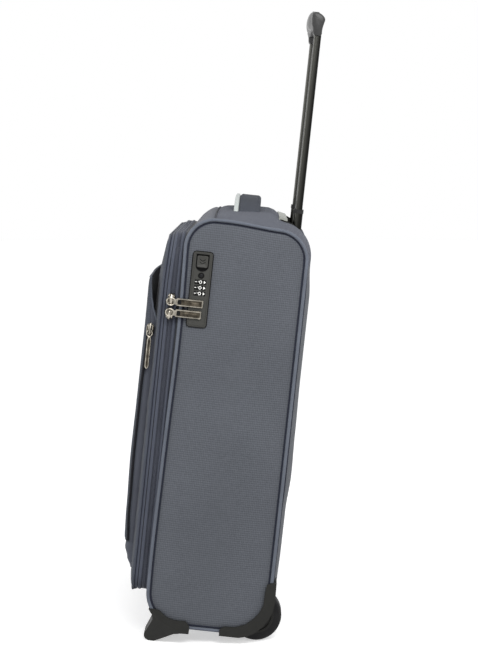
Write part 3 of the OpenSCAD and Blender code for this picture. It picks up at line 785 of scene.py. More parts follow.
def stitches(name, line, length, gap, radius, material=THREAD, body="case", slump=None):
    """Stitches along a line of case points: short thread bars with gaps between them."""
    along = run_length(line)
    parts, s = [], 0.0

    def at(distance):
        k = max(j for j in range(len(along) - 1) if along[j] <= distance + 1e-9)
        t = (distance - along[k]) / max(1e-9, along[k + 1] - along[k])
        return tuple(mix(p, q, min(1.0, t)) for p, q in zip(line[k], line[k + 1]))

    while s + length < along[-1]:
        parts.append(tube([at(s), at(s + length / 2), at(s + length)], radius, 5))
        s += length + gap
    make(name, join(*parts), material, body, slump=slump)


for name, out, a, body, bend in (("body", -0.7, 3.6, "case", None), ("lid", -0.9, -3.6, "lid", slump_lid)):
    line = [front_lift(*LID.at(s), out, COIL_LINE + a) for s in LID.stations(ZIP_START + 1, ZIP_END - 1, 4.0)]
    stitches(f"zip_stitches_{name}", line, 1.7, 0.9, 0.3, body=body, slump=bend)

# ---- Hinge side: one strip of cloth from the body to the lid ----
HINGE_X = LID.low[0]


def hinge_point(h, t, side):
    fold = 0.9 * math.sin(math.pi * t) - 0.5 * math.exp(-((t - 0.55) / 0.08) ** 2)
    return (HINGE_X + 2.2 - fold + 1.3 * side, mix(BODY_FRONT - 0.5, LID_HIGH.y - 1.0, t), h)


hinge = make("hinge_cloth", slab(steps(HINGE_LOW - 4, HINGE_HIGH + 4, 9), steps(0, 1, 1 / 14), hinge_point),
             [TAPE, LINING], None, replaces=["hinge_tape"])
to_row(HINGE_X, -75, 280)
to_row(HINGE_X, -86, 280)
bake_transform(hinge)

# ---- Front of the body, round the opening ----
make("opening_binding", sweep(LID, [(-1.2, BODY_FRONT + 3.2), (-1.2, BODY_FRONT + 0.2), (-13, BODY_FRONT + 0.6),
                                    (-13, BODY_FRONT + 3.2)], front_lift), LINING, replaces=["front_panel"])

# ---- Lid ----
GUSSET_BACK, GUSSET_FRONT = LID_HIGH.y, LID_LOW.y
profile = [(-0.6, GUSSET_BACK), (0.2, mix(GUSSET_BACK, GUSSET_FRONT, 0.5)), (-0.3, GUSSET_FRONT),
           (-5, GUSSET_FRONT), (-5, GUSSET_BACK)]
make("lid_side", sweep(LID, profile, front_lift), TAPE, "lid", ["lid_gusset"], slump_lid)
make("lid_piping_cord", sweep(LID, round_points(0.0, GUSSET_FRONT + 0.4, 1.5, 10), front_lift), LID_PIPING, "lid",
     ["lid_piping"], slump_lid)
profile = [(out, GUSSET_FRONT + a) for out, a in ((0.4, 3.2), (0.4, 2.0), (-3, 2.0), (-3, 3.2))]
# A dark strip behind the lid piping: painted shade in the crevice.
make("lid_seam", sweep(LID, profile, front_lift), SEAM_SHADE, "lid", slump=slump_lid)

PANEL_INSET = 1.6
PANEL_BACK = case_box("lid_panel")[1].y + 0.5
SHADED_UP_TO = POCKET_HIGH.z - 2  # the lid's outside behind the pocket takes the dark pocket colour as painted shade, up to this height


def lid_point(h, t, side):
    """The lid's face: sunk at the piping, then a full soft crown."""
    x = mix(*LID.span(h, PANEL_INSET), t)
    depth = max(0.0, LID.depth(x, h) - PANEL_INSET)
    puff = 3.0 * (1 - math.exp(-depth / mix(5, 16, smooth(h, 290, 330) * smooth(h, 460, 430))))
    return (x, PANEL_BACK if side else PANEL_BACK - 1.0 - puff - 5.5 * smooth(depth, 0, 75), h)


near = [0, 0.8, 2, 4, 7, 11, 16, 22, 28]
low, high = LID.low[1] + PANEL_INSET, LID.high[1] - PANEL_INSET
hs = [low + d for d in near] + steps(low + 36, high - 36, 10) + [high - d for d in reversed(near)]
near = [d / 370 for d in (0, 1.5, 4, 8, 13, 20, 30)]
shape = slab(hs, near + steps(0.12, 0.88, 0.03) + [1 - t for t in reversed(near)], lid_point, plan=(0, 2))
# The lid's face behind the pocket gets the dark pocket colour: painted shade.
for i, face in enumerate(shape[1]):
    x, h = (sum(shape[0][k][axis] for k in face) / 4 for axis in (0, 2))
    if shape[3][i] == 0 and POCKET_LOW.z < h < SHADED_UP_TO and abs(x) < POCKET_HIGH.x - 1:
        shape[3][i] = 2
face = make("lid_face", shape, [LID_CLOTH, LINING, POCKET_LINING_SHADE], "lid", ["lid_panel"], slump_lid)
swell(face, lambda x, a, h: LID.depth(x, h) < 14, 1.0, 2.0)

# ---- Pocket: a padded front over a slanting gusset, its right side unzipped at the top ----
POCKET_HALF = POCKET_HIGH.x
POCKET_FOOT = BASE_HIGH.z - 12
MOUTH = POCKET_HIGH.z + 1
POCKET_BACK = -92.5
POCKET_BELLY = [(78, -96.5), (90, -101.5), (104, -105.5), (118, -107.5), (150, -108.5), (220, -110), (300, -109),
                (400, -108.2), (440, -108.4)]
# The gusset's free edge, from the lid up to the pocket's corner, and the seam with the front.
FLAP = [(386, POCKET_BACK), (391, -95.2), (402, -99.8), (419, -103.6), (441, -106.2)]
FLAP_HEIGHTS = [386, 390, 396, 402, 408, 414, 420, 427, 434, 439]
SEAM = [(110, -102.5), (150, -104.6), (220, -105.6), (300, -105), (340, -104), (373, -103.2), (402, -104.2),
        (419, -106), (441, -107.4)]


def pocket_front(x, h):
    """The pocket's outer face: it hangs open at its upper right corner."""
    closed_by = 5.5 * smooth(h, 330, 435) * smooth(x, 80, -60)
    roll = mix(4.5, 1.5, smooth(h, 370, 430) * smooth(x, 0, 80)) * math.exp(-max(0.0, POCKET_HALF - abs(x)) / 2.6)
    return curve(POCKET_BELLY, h) + closed_by + roll


def pocket_top(x):
    """The mouth's edge, highest where it lies on the lid."""
    return MOUTH + 3 * smooth(x, 150, -20)


def pocket_point(t, u, side):
    x = POCKET_HALF * u
    h = mix(POCKET_FOOT, pocket_top(x), t)
    lip = 1.2 * math.exp(-(pocket_top(x) - h) / 3) + 1.2 * math.exp(-(h - POCKET_FOOT) / 3)
    return (x, pocket_front(x, h) + (2.8 if side else lip), h)


def base_point(t, u, side):
    x = POCKET_HALF * u
    h = mix(BASE_LOW.z, POCKET_FOOT - 0.5, t)
    return (x, POCKET_BACK if side else pocket_front(x, h) + 1.6 * math.exp(-(POCKET_FOOT - 0.5 - h) / 2.5), h)


def across_steps(half, spacing):
    near = [0, 0.8, 2, 4, 7, 12, 20]
    return ([(d - half) / half for d in near] + [x / half for x in steps(-half + 30, half - 30, spacing)]
            + [(half - d) / half for d in reversed(near)])


ts = [0, 0.003, 0.008, 0.016, 0.03] + steps(0.05, 0.95, 0.03) + [0.97, 0.984, 0.992, 0.997, 1]
face = make("pocket_face", slab(ts, across_steps(POCKET_HALF, 9), pocket_point, plan=(0, 2)),
            [LID_CLOTH, POCKET_LINING_SHADE], "lid", ["pocket_front"])
swell(face, lambda x, a, h: abs(x) > POCKET_HALF - 14 or h < POCKET_FOOT + 8 or h > MOUTH - 6, 1.0, 2.5)
ts = [0, 0.04, 0.1, 0.2, 0.32, 0.45, 0.58, 0.7, 0.8, 0.88, 0.93, 0.97, 1]
foot = make("pocket_foot", slab(ts, across_steps(POCKET_HALF, 12), base_point, plan=(0, 2)),
            [POCKET_CLOTH, LINING], "lid", ["pocket_base"])


def gusset_back(h):
    return curve(FLAP, h)


def gusset_front(h):
    return min(curve(SEAM, h), gusset_back(h) - 0.8)


def pocket_side(sign):
    def surface(h, t, side):
        belly = 1.4 * math.sin(math.pi * t) * smooth(h, 440, 380)
        return (sign * (POCKET_HALF - 1.5 + belly - 1.6 * side), mix(gusset_back(h), gusset_front(h), t), h)

    return slab(steps(POCKET_FOOT - 2, 380, 8) + [384] + FLAP_HEIGHTS, steps(0, 1, 0.125), surface, plan=(2, 1))


make("pocket_sides", join(pocket_side(1), pocket_side(-1)), [POCKET_CLOTH, POCKET_LINING_SHADE], "lid",
     ["pocket_gusset"])
for side, sign in (("right", 1), ("left", -1)):
    line = [(sign * (POCKET_HALF - 0.5), curve(SEAM, h) + 0.5, h) for h in steps(POCKET_FOOT + 2, 372, 6)]
    make(f"pocket_zip_{side}", tube(line, 1.9), ZIP_CLOTH, "lid", ["pocket_zip_tape"] if sign > 0 else ())
    stitches(f"pocket_zip_teeth_{side}", [(x + sign * 1.5, a, h) for x, a, h in line], 1.3, 1.0, 0.5, ZIP_CLOTH, "lid")
edge = [(POCKET_HALF - 1.2, gusset_back(h) + 0.3, h) for h in FLAP_HEIGHTS]
mouth_edge = [(x, pocket_front(x, pocket_top(x)) + 1.6, pocket_top(x))
              for x in (POCKET_HALF * u for u in steps(-1, 1, 0.05))]
make("pocket_binding", join(tube(edge, 1.1), tube(mouth_edge, 1.5)), PIPING, "lid")

# ---- Carry handle: a padded strap with stitched borders and a trim in front, light grey as a painted highlight ----
ARCH_HALF = HANDLE_HIGH.x - 2
ARCH_RISE = HANDLE_HIGH.z - 4.5 - (BODY_TOP + 2)


def arch(x):
    t = min(1.0, abs(x) / ARCH_HALF)
    return BODY_TOP + 2 + ARCH_RISE * (1 - t ** 3.2) ** 0.625


def strap(a0, a1, thick, edge):
    """A strap along the arch with rounded edges."""
    far, near = thick * 0.42, thick * 0.2
    profile = [(a0, -near), (a0, near), (a0 + edge * 0.4, far), (a0 + edge, thick / 2)]
    profile += [(a, thick / 2) for a in steps(a0 + edge, a1 - edge, 3)[1:]]
    profile += [(a1 - edge * 0.4, far), (a1, near), (a1, -near), (a1 - edge * 0.4, -far)]
    profile += [(a, -thick / 2) for a in steps(a1 - edge, a0 + edge, 3)] + [(a0 + edge * 0.4, -far)]
    line = [(x, arch(x)) for x in (ARCH_HALF * math.sin(math.pi / 2 * t) for t in steps(-1, 1, 1 / 22))]
    along, around, rows = run_length(line), run_length(profile), []
    for i, (x, h) in enumerate(line):
        (x0, h0), (x1, h1) = line[max(i - 1, 0)], line[min(i + 1, len(line) - 1)]
        way = Vector((x1 - x0, h1 - h0)).normalized()
        rows.append([(x - way[1] * out, a, h + way[0] * out) for a, out in profile])
    return *stack(rows), [(u, v) for u in along for v in around]


handle = make("handle_strap", strap(HANDLE_LOW.y, HANDLE_HIGH.y, 8.6, 4.0), HANDLE_CLOTH, replaces=["carry_handle"])
make("handle_edge", strap(TRIM_LOW.y, TRIM_HIGH.y, 8.2, 1.6), TRIM_HIGHLIGHT, "case", ["handle_trim"])
for k, a in enumerate((HANDLE_LOW.y + 3, HANDLE_HIGH.y - 3.2)):
    line = [(x, a, arch(x) + 4.2) for x in steps(-ARCH_HALF * 0.9, ARCH_HALF * 0.9, 4)]
    stitches(f"handle_stitches_{k + 1}", line, 2.2, 1.2, 0.35)


# ---- Flat hard pieces facing sideways: outlines in (a, h), raised along x ----
def shrink(outline, d):
    """The outline moved inwards by d."""
    if not d:
        return outline
    n, found = len(outline), []
    area = sum(p[0] * q[1] - q[0] * p[1] for p, q in zip(outline, outline[1:] + outline[:1]))
    turn = 1 if area > 0 else -1
    for i, p in enumerate(outline):
        before, after = Vector(p) - Vector(outline[i - 1]), Vector(outline[(i + 1) % n]) - Vector(p)
        m = (Vector((-before.y, before.x)).normalized() + Vector((-after.y, after.x)).normalized()) * turn
        found.append(tuple(Vector(p) + m * (2 * d / max(m.length_squared, 1.0))))
    return found


def rounded(a0, a1, h0, h1, r, count=4):
    """A rectangle with round corners."""
    found = []
    for k, (a, h) in enumerate(((a1 - r, h1 - r), (a0 + r, h1 - r), (a0 + r, h0 + r), (a1 - r, h0 + r))):
        for i in range(count + 1):
            angle = math.pi / 2 * (k + i / count)
            found.append((a + r * math.cos(angle), h + r * math.sin(angle)))
    return found


def plate(a0, a1, h0, h1, r):
    """A rectangle with round corners, as a function of how far it has shrunk."""
    return lambda d: rounded(a0 + d, a1 - d, h0 + d, h1 - d, max(0.25, r - d))


def badge(name, outline, levels, materials, body="case", replaces=(), dark_from=None, sharp=35):
    """A solid whose skin passes through the outline shrunk by each level's inset, at its x.

    From the level number dark_from on, the faces are of the second material.
    """
    shrunk = outline if callable(outline) else lambda inset: shrink(outline, inset)
    points, faces = stack([[(x, a, h) for a, h in shrunk(inset)] for inset, x in levels])
    n = len(points) // len(levels)
    kinds = [int(dark_from is not None and i // n >= dark_from) for i in range(len(faces) - 2)]
    return make(name, (points, faces, None, kinds + [0, int(dark_from is not None)]), materials, body, replaces,
                sharp=sharp)


def loop(points, radius, count=8):
    """A closed round wire through case points."""
    line, n = [Vector(p) for p in points], len(points)
    centre, rings = sum(line, Vector()) / n, []
    for i, p in enumerate(line):
        way = (line[(i + 1) % n] - line[i - 1]).normalized()
        out = (p - centre - way * (p - centre).dot(way)).normalized()
        other = way.cross(out)
        rings.append([tuple(p + radius * (math.cos(2 * math.pi * k / count) * out
                                          + math.sin(2 * math.pi * k / count) * other)) for k in range(count)])
    return stack(rings, True)


# ---- Grip: a rounded bar, raised in its middle, between two necks ----
def rounded_off(outline, times=2):
    """The outline with its corners cut off again and again, until they are round."""
    for _ in range(times):
        outline = [(mix(p[0], q[0], t), mix(p[1], q[1], t)) for p, q in zip(outline, outline[1:] + outline[:1])
                   for t in (0.25, 0.75)]
    return outline


GRIP_LOW, GRIP_HIGH = case_box("grip_front_shell")
GRIP_HALF = (GRIP_HIGH.x - GRIP_LOW.x) / 2
NECK_INSIDE = case_box("inner_tubes")[1].x - 8.9 - 11.2
HEAD = [(56.6, 779), (58.5, 781), (62, 781.6), (66, 780.6), (70.4, 778), (73.6, 773.8)]
NECK = [(60.2, 752.2), (59.0, 762), (57.0, 772), *HEAD, (71.9, 767.6), (70.6, 761), (70.9, 752.2)]
END = rounded_off([(57.2, 764.6), (56.6, 772), *HEAD, (71.6, 767.6), (69.6, 762.6), (64, 761), (59.6, 761.6)])
MIDDLE = rounded_off([(53.4, 767.6), (52.8, 775), (53.8, 782), (56.6, 786.4), (60.4, 788), (65, 787.2), (69.6, 784.4),
                      (72.4, 779), (70.8, 771), (67.6, 765.2), (61, 763.4), (55.6, 764.4)])
rings = []
for x in [0.6 - GRIP_HALF, 1.2 - GRIP_HALF, *steps(3 - GRIP_HALF, GRIP_HALF - 3, 6), GRIP_HALF - 1.2, GRIP_HALF - 0.6]:
    part, end = smooth(abs(x), 78, 14), GRIP_HALF - abs(x)
    outline = [(mix(p[0], q[0], part), mix(p[1], q[1], part)) for p, q in zip(END, MIDDLE)]
    inset = 1.4 if end < 0.8 else 0.8 if end < 2 else 0.3 if end < 3.5 else 0
    rings.append([(x, a, h) for a, h in shrink(outline, inset)])
make("grip_bar", stack(rings), GRIP, "grip_stage", ["grip_front_shell", "grip_rear_shell"], sharp=50)
for side, sign in (("right", 1), ("left", -1)):
    levels = [(1.6, NECK_INSIDE), (0.4, NECK_INSIDE + 1.2), (0, NECK_INSIDE + 3), (0, GRIP_HALF - 2.4),
              (0.5, GRIP_HALF - 0.8), (1.6, GRIP_HALF)]
    badge(f"grip_neck_{side}", rounded_off(NECK), [(inset, sign * x) for inset, x in levels], [GRIP], "grip_stage",
          sharp=50)

# ---- Lock: plate with a gasket, release button over a recess, keyhole and three number dials ----
LOCK_LINE = (PLATE_LOW.y + PLATE_HIGH.y) / 2
FACE = PLATE_HIGH.x
WELL_FOOT, WELL_BEND, WELL_HEAD = 454.6, 461.6, 475.0  # the button's well; its round end begins at the bend
KEY_LINE = 449.8
CHEVRONS = (464.0, 467.2)
ring = Outline(PLATE_LOW.y, PLATE_HIGH.y, PLATE_LOW.z, PLATE_HIGH.z, 3, 3)
profile = [(-0.3, FACE - 2.9), (1.0, FACE - 2.6), (1.2, FACE - 1.4), (0.7, FACE - 0.7), (-0.3, FACE - 0.7)]
make("lock_gasket", sweep(ring, profile, side_lift)[:2], RECESS, "case")
edge = shrink(rounded(PLATE_LOW.y, PLATE_HIGH.y, PLATE_LOW.z, PLATE_HIGH.z, 3.5), 1.5)
make("lock_rim", loop([(FACE, *p) for p in edge], 0.42, 6), LOCK, "case")

button = plate(BUTTON_LOW.y + 1.1, BUTTON_HIGH.y - 1.1, BUTTON_LOW.z + 0.6, BUTTON_HIGH.z - 1.0, 1.6)
levels = [(3.6, BUTTON_LOW.x + 0.2), (3.6, FACE + 0.6), (0, FACE + 0.7), (0, FACE + 1.0), (0.5, FACE + 1.4),
          (1.7, FACE + 1.4), (2.1, FACE + 1.1)]
badge("lock_button_cap", button, levels, [LOCK, LOCK], "lock_release", replaces=["lock_button"])
make("lock_chevrons", join(*(stack([[(FACE + x, LOCK_LINE + s * a, low + rise + h) for x, h in
                                     ((0.9, -0.45), (1.35, -0.45), (1.35, 0.45), (0.9, 0.45))]
                                    for a, rise in ((0.04, 0), (3.4, 2.2))])
                             for low in CHEVRONS for s in (-1, 1))),
     RECESS, "lock_release")  # two plain chevrons that show which way the button works

badge("lock_well", rounded(LOCK_LINE - 7.85, LOCK_LINE + 7.85, WELL_FOOT + 0.05, WELL_HEAD - 0.05, 0.6),
      [(0, FACE - 3.4), (0, FACE - 2.8)], [RECESS])
outer = [(LOCK_LINE + a, h) for a, h in ((-7.9, WELL_BEND), (-7.9, WELL_FOOT),
                                         *((a, WELL_FOOT) for a in steps(-7.8, 7.8, 1)),
                                         (7.9, WELL_FOOT), (7.9, WELL_BEND))]
turns = [math.pi * k / (len(outer) - 1) for k in range(len(outer))]
inner = [(LOCK_LINE - 7.4 * math.cos(turn), WELL_BEND - 6.4 * math.sin(turn)) for turn in turns]
make("lock_well_corners", stack([[(x, *p) for p in outer + inner[::-1]] for x in (FACE - 1.6, FACE - 0.1)]), LOCK,
     "case", sharp=30)
edge = inner + [(LOCK_LINE + a, WELL_HEAD + 0.2) for a in (7.6, -7.6)]
make("lock_well_edge", loop([(FACE + 0.1, *p) for p in edge], 0.5, 6), RECESS, "case")

make("key_ring", join(*(loop([(FACE + 0.1, *p) for p in round_points(LOCK_LINE, KEY_LINE, radius, 20)], wire, 6)
                        for radius, wire in ((3.3, 0.55), (2.5, 0.3)))), RECESS, "case")
KEY_FACE = case_box("key_cylinder")[1].x
badge("key_face", round_points(LOCK_LINE, KEY_LINE, 2.1, 20),
      [(0, KEY_FACE - 0.4), (0, KEY_FACE + 0.15), (0.3, KEY_FACE + 0.3)], [HOOP], "key")
badge("key_slit", rounded(LOCK_LINE - 0.35, LOCK_LINE + 0.35, KEY_LINE - 1.4, KEY_LINE + 1.4, 0.3),
      [(0, KEY_FACE + 0.2), (0, KEY_FACE + 0.36)], [RECESS], "key")

# Strokes of the digits 0 to 9 in a box one unit wide and two units high.
ARC = [(0.5 + 0.5 * math.cos(math.pi * k / 8), 0.5 * math.sin(math.pi * k / 8)) for k in range(17)]
DIGITS = [
    [[(a, h * 2 + 1) for a, h in ARC]],
    [[(0.15, 1.6), (0.55, 2), (0.55, 0)]],
    [[(0, 1.5), (0.2, 1.9), (0.8, 1.9), (1, 1.5), (0, 0), (1, 0)]],
    [[(0, 2), (1, 2), (0.45, 1.15), (1, 0.7), (0.8, 0.1), (0.2, 0), (0, 0.3)]],
    [[(0.8, 0), (0.8, 2), (0, 0.6), (1, 0.6)]],
    [[(1, 2), (0.1, 2), (0.05, 1.1), (0.8, 1.1), (1, 0.6), (0.7, 0), (0, 0.1)]],
    [[(0.8, 2), (0.2, 1.3), (0, 0.6), (0.3, 0), (0.8, 0), (1, 0.5), (0.7, 1.05), (0.1, 0.9)]],
    [[(0, 2), (1, 2), (0.4, 0)]],
    [[(0.5 + a * 0.9 - 0.45, 1.5 + h * 0.95) for a, h in ARC], [(a, 0.5 + h) for a, h in ARC]],
    [[(0.2, 0), (0.8, 0.7), (1, 1.4), (0.7, 2), (0.2, 2), (0, 1.5), (0.3, 0.95), (0.9, 1.1)]],
]
DIGIT_WIDE, DIGIT_HALF_HIGH, STROKE = 2.9, 1.6, 0.75
PRINT = (-0.1, 0.12)  # the print's underside and face, over the surface it is on


def stroke(line, lift):
    """A flat ribbon along a line of (a, h); lift turns (a, h, height over the surface) into a case point."""
    parts = []
    for p, q in zip(line, line[1:]):
        p, q = Vector(p), Vector(q)
        way = (q - p).normalized()
        side, ahead = Vector((-way.y, way.x)) * STROKE / 2, way * min(STROKE * 0.35, math.dist(p, q) * 0.35)
        parts.append(prism([p - ahead + side, p - ahead - side, q + ahead - side, q + ahead + side], PRINT, lift))
    return join(*parts)


for k, body in enumerate(("first_dial", "second_dial", "third_dial"), 1):
    low, high = case_box(f"dial_{k}")
    centre_x, middle, radius = (low.x + high.x) / 2, (low.z + high.z) / 2, (high.x - low.x) / 2
    parts = []
    for digit, strokes in enumerate(DIGITS):
        def onto(a, h, out, turn=2 * math.pi * digit / 10):
            angle, far = turn + a / radius, radius + out
            return (centre_x + far * math.cos(angle), LOCK_LINE + far * math.sin(angle), middle + h)
        parts += [stroke([(DIGIT_WIDE * (a - 0.5), DIGIT_HALF_HIGH * (h - 1)) for a, h in line], onto)
                  for line in strokes]
    make(f"numbers_{k}", join(*parts), WHITE, body, check=False)
    clear = max(3.0, math.sqrt(max(0.0, (radius + 0.5) ** 2 - (FACE - 0.3 - centre_x) ** 2)))
    for name, a0, a1 in (("front", -7.0, -clear), ("back", clear, 7.0)):
        badge(f"window_{name}_{k}", rounded(LOCK_LINE + a0, LOCK_LINE + a1, middle - 2.85, middle + 2.85, 0.5),
              [(0, FACE - 0.3), (0, FACE + 0.15), (0.25, FACE + 0.3)], [DIAL])

    def onto_plate(a, h, out):
        return (FACE + 0.35 + out, LOCK_LINE + a, middle + h)

    make(f"marks_{k}", join(stroke([(-6.2, 0), (-4.7, 0)], onto_plate),
                            prism(((4.0, -1.9), (6.4, 0), (4.0, 1.9)), PRINT, onto_plate)), WHITE, "case",
         check=False)


# ---- Zip sliders and pulls ----
def slider(name, body, a, h, up, base, pin):
    """A slider whose zip end points up (up = 1) or down (-1), with its bridge's middle at (a, h)."""
    shield = [(4.3, -5.4), (4.9, -1.0), (4.6, 4.6), (2.6, 7.2), (1.0, 6.0)]
    shield = [(a + p, h + q * up) for p, q in [(-4.3, -5.4), *shield, *((-p, q) for p, q in shield[:0:-1])]]
    badge(f"{name}_plate", shield, [(0, base), (0, base + 1.6), (0.9, base + 2.6), (1.8, base + 2.8)], [PULLS], body,
          [name])
    near, far = (4.6, 6.6) if up > 0 else (6.6, 4.6)
    bridge = [(base + 1.6, -near), (base + 3.4, -near), (pin - 0.2, 0.8 - near), (pin + 1.2, -2.2), (pin + 1.6, 0),
              (pin + 1.2, 2.2), (pin - 0.2, far - 0.8), (base + 3.4, far), (base + 1.6, far)]
    make(f"{name}_bridge", tube([(x, a, h + rise) for x, rise in bridge], 1.8, 10)[:2], PULLS, body,
         sharp=50)
    ribs = [tube([(base + 2.2, a + s * 3.4, h - 4 * up), (base + 2.4, a + s * 3.6, h + 4 * up)], 0.7, 6)[:2]
            for s in (-1, 1)]
    make(f"{name}_ribs", join(*ribs), DARK_METAL, body)


def side_pull(name, body, a_pin, tip, h0, h1, x, eye):
    """A pull that lies flat along the case's side: a ring round the bridge, a neck and a framed blade."""
    middle = (h0 + h1) / 2
    turns = [2 * math.pi * k / 24 for k in range(24)]
    ring = [(x + 0.2 - 0.5 * math.cos(turn), a_pin - 0.2 + 4.7 * math.cos(turn), eye + 4.5 * math.sin(turn))
            for turn in turns]
    neck = [(a_pin + a, h) for a, h in ((3.2, eye - 2.6), (8.6, middle - 4.0), (8.6, middle + 4.0), (3.2, eye + 2.6))]
    make(f"{name}_eye", join(loop(ring, 1.15), prism(neck, (-0.7, 0.9), lambda a, h, out: (x + out, a, h))), PULLS,
         body, sharp=45)
    levels = [(0.5, x - 1.0), (0, x - 0.6), (0, x + 0.9), (0.5, x + 1.5), (1.5, x + 1.5), (1.9, x + 0.9),
              (2.4, x + 0.8)]
    badge(f"{name}_blade", plate(a_pin + 6.2, tip, h0, h1, 1.6), levels, [PULLS, DARK_METAL], body,
          [name], 4)
    badge(f"{name}_hole", rounded(a_pin + 8.0, a_pin + 12.4, middle - 2.6, middle + 2.6, 1.0, 3),
          [(0, x + 0.4), (0, x + 1.0)], [RECESS], body)
    badge(f"{name}_inlay", rounded(a_pin + 15, tip - 4.6, middle - 1.1, middle + 1.1, 0.9, 3),
          [(0, x + 0.5), (0, x + 0.85), (0.3, x + 1.05)], [DARK_METAL], body)


UPPER_LOW, UPPER_HIGH = case_box("upper_pull")
LOWER_LOW, LOWER_HIGH = case_box("lower_pull")
BASE_X = case_box("upper_slider")[0].x
PIN_A, PIN_X = UPPER_LOW.y + 1.9, UPPER_LOW.x + 1.9
slider("upper_slider", "upper_zip_slider", PIN_A - 0.2, UPPER_LOW.z + 6.4, 1, BASE_X, PIN_X)
slider("lower_slider", "lower_zip_slider", PIN_A - 0.6, LOWER_LOW.z + 2.6, -1, BASE_X, PIN_X)
side_pull("upper_pull", "upper_zip_pull", PIN_A, UPPER_HIGH.y, UPPER_LOW.z + 0.2, UPPER_HIGH.z + 1.0, PIN_X + 0.6,
          UPPER_LOW.z + 5.0)
side_pull("lower_pull", "lower_zip_pull", PIN_A, LOWER_HIGH.y, LOWER_LOW.z - 0.8, LOWER_HIGH.z, PIN_X + 0.6,
          LOWER_LOW.z + 4.0)

# The pocket's slider and its pull, which hangs down its seam.
low, (pull_low, pull_high) = case_box("pocket_slider")[0], case_box("pocket_pull")
a, h, x, foot = (pull_low.y + pull_high.y) / 2, pull_high.z - 1.8, pull_low.x + 1.4, pull_low.z
slider("pocket_slider", "pocket_zip_slider", a, h + 4.8, 1, low.x + 0.1, low.x + 3.6)
ring = [(x + 0.3, *p) for p in round_points(a, h + 0.6, 3.4, 20, 4.0)]
make("pocket_pull_eye", loop(ring, 1.0), PULLS, "pocket_zip_pull", sharp=45)
blade = [(a - 1.4, h - 3.8), (a + 1.4, h - 3.8), (a + 2.5, h - 8), (a + 2.5, foot + 3), (a + 1.4, foot + 0.6),
         (a, foot), (a - 1.4, foot + 0.6), (a - 2.5, foot + 3), (a - 2.5, h - 8)]
levels = [(0.4, x - 1.0), (0, x - 0.6), (0, x + 0.8), (0.4, x + 1.2), (1.1, x + 1.2), (1.3, x + 0.7)]
badge("pocket_pull_blade", blade, levels, [PULLS, DARK_METAL], "pocket_zip_pull", ["pocket_pull"], 4)

# ---- Hard parts that keep their CAD shape: materials and softened edges ----
KEPT = [
    (HOOP, "frame_hoop"), (BOARD, "back_board bottom_board tube_base"), (LIP_HIGHLIGHT, "cup_lip"),
    (CORNER, "handle_cup wheel_housing_right wheel_housing_left front_foot_right front_foot_left"),
    (CORNER, "wheel_hub_right wheel_hub_left"), (RUBBER, "tyre_right tyre_left"), (LOCK, "lock_plate"),
    (PAINTED_TUBES, "outer_tubes middle_tubes inner_tubes"), (COLLAR, "middle_collars"), (GRIP, "grip_button"),
    (STEEL, "screws axles dial_shaft push_rods button_spring bearings_right bearings_left"),
    (RECESS, "lock_body"), (DIAL, "dial_1 dial_2 dial_3"), (DARK_METAL, "key_cylinder"),
]
SOFT_EDGES = {
    "wheel_housing_right": 1.0, "wheel_housing_left": 1.0, "front_foot_right": 1.2, "front_foot_left": 1.2,
    "lock_plate": 0.6, "grip_button": 0.6, "handle_cup": 0.7, "cup_lip": 0.6, "middle_collars": 0.5,
}
for material, names in KEPT:
    for name in names.split():
        NODES[name].data.materials.clear()
        NODES[name].data.materials.append(material)
for name, width in SOFT_EDGES.items():
    bevel = NODES[name].modifiers.new("soft_edges", "BEVEL")
    bevel.width = width / 1000
    bevel.segments = 2
    bevel.limit_method = "ANGLE"
    bevel.angle_limit = math.radians(40)
    bevel.harden_normals = True

SPRING_LOW, SPRING_HIGH = case_box("button_spring")
PRESS = max(abs(limit) for limit in JOINTS["button_press"]["range_m"]) * 1000
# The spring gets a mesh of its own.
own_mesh(NODES["button_spring"], "button_press", axis=tuple(CASE_UP),
          anchor=tuple(to_row(0, SPRING_LOW.y, SPRING_HIGH.z)), keep=1 - PRESS / (SPRING_HIGH.z - SPRING_LOW.z))

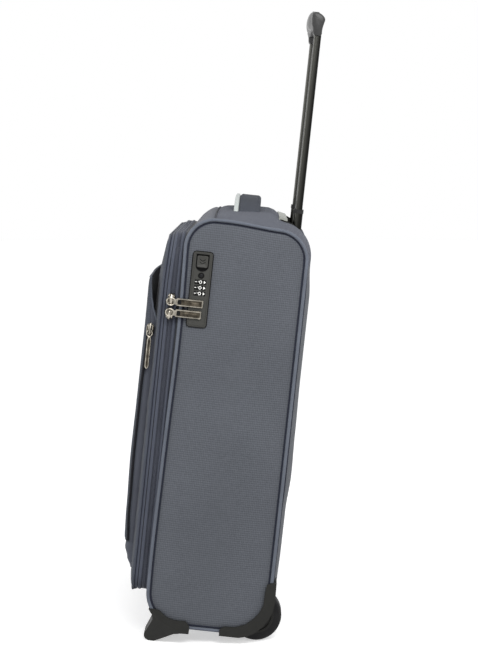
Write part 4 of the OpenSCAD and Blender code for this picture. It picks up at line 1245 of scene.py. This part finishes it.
# ---- Camera, floor and light ----
camera = add("camera", bpy.data.cameras.new("camera"))
right = Vector((-0.01129536, 0.99993621, 0.0))
forward = Vector((-0.99450661, -0.01123402, -0.10406916))
up = right.cross(forward)
camera.matrix_world = Matrix((
    (right.x, up.x, -forward.x, 2.20216), (right.y, up.y, -forward.y, 0.04116),
    (right.z, up.z, -forward.z, 0.60250), (0, 0, 0, 1)))
camera.data.lens = 93.157
camera.data.sensor_width = 36
SCENE.camera = camera

mesh = bpy.data.meshes.new("floor")
bm = bmesh.new()
bmesh.ops.create_circle(bm, cap_ends=True, segments=64, radius=9)
bm.to_mesh(mesh)
bm.free()
floor = add("floor", mesh)
floor.location.z = -0.0004
mesh.materials.append(Finish("floor", (0.8, 0.8, 0.8, 1), 0.9, Specular_IOR_Level=0.0,
                             Emission_Color=(1, 1, 1, 1), Emission_Strength=0.5).material)
floor.visible_diffuse = False  # so that the light from below comes from the world's darker lower half
floor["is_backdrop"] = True

world = bpy.data.worlds.new("studio")
world.use_nodes = True
sky = Nodes(world.node_tree)
height = sky.node("SeparateXYZ", sky.node("TexCoord").outputs["Generated"]).outputs["Z"]
below, above = sky.remap(height, -0.7, -0.05, 0.45, 1.0), sky.remap(height, 0.3, 0.9, 1.0, 0.5)
background = sky.tree.nodes["Background"].inputs
sky.tree.links.new(sky.times(below, above), background["Color"])
background[1].default_value = 1.0
SCENE.world = world
SCENE.view_settings.view_transform = "Standard"


def light(name, place, target, size, power):
    lamp = add(name, bpy.data.lights.new(name, "AREA"))
    lamp.data.shape = "RECTANGLE"
    lamp.data.size, lamp.data.size_y = size
    lamp.data.energy = power
    lamp.location = place
    lamp.rotation_euler = (Vector(target) - Vector(place)).to_track_quat("-Z", "Y").to_euler()


light("key", (1.15, 0.25, 1.2), (0.2, 0.05, 0.6), (0.9, 0.5), 13)
light("rear", (0.6, 2.2, 1.6), (0, 0, 0.4), (1.0, 1.6), 12)
light("front", (0.7, -1.8, 1.3), (0, 0, 0.5), (0.8, 1.4), 10)

low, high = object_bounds()
{"cad": [list(CAD_BOX[0]), list(CAD_BOX[1])], "visual": [list(low), list(high)]}
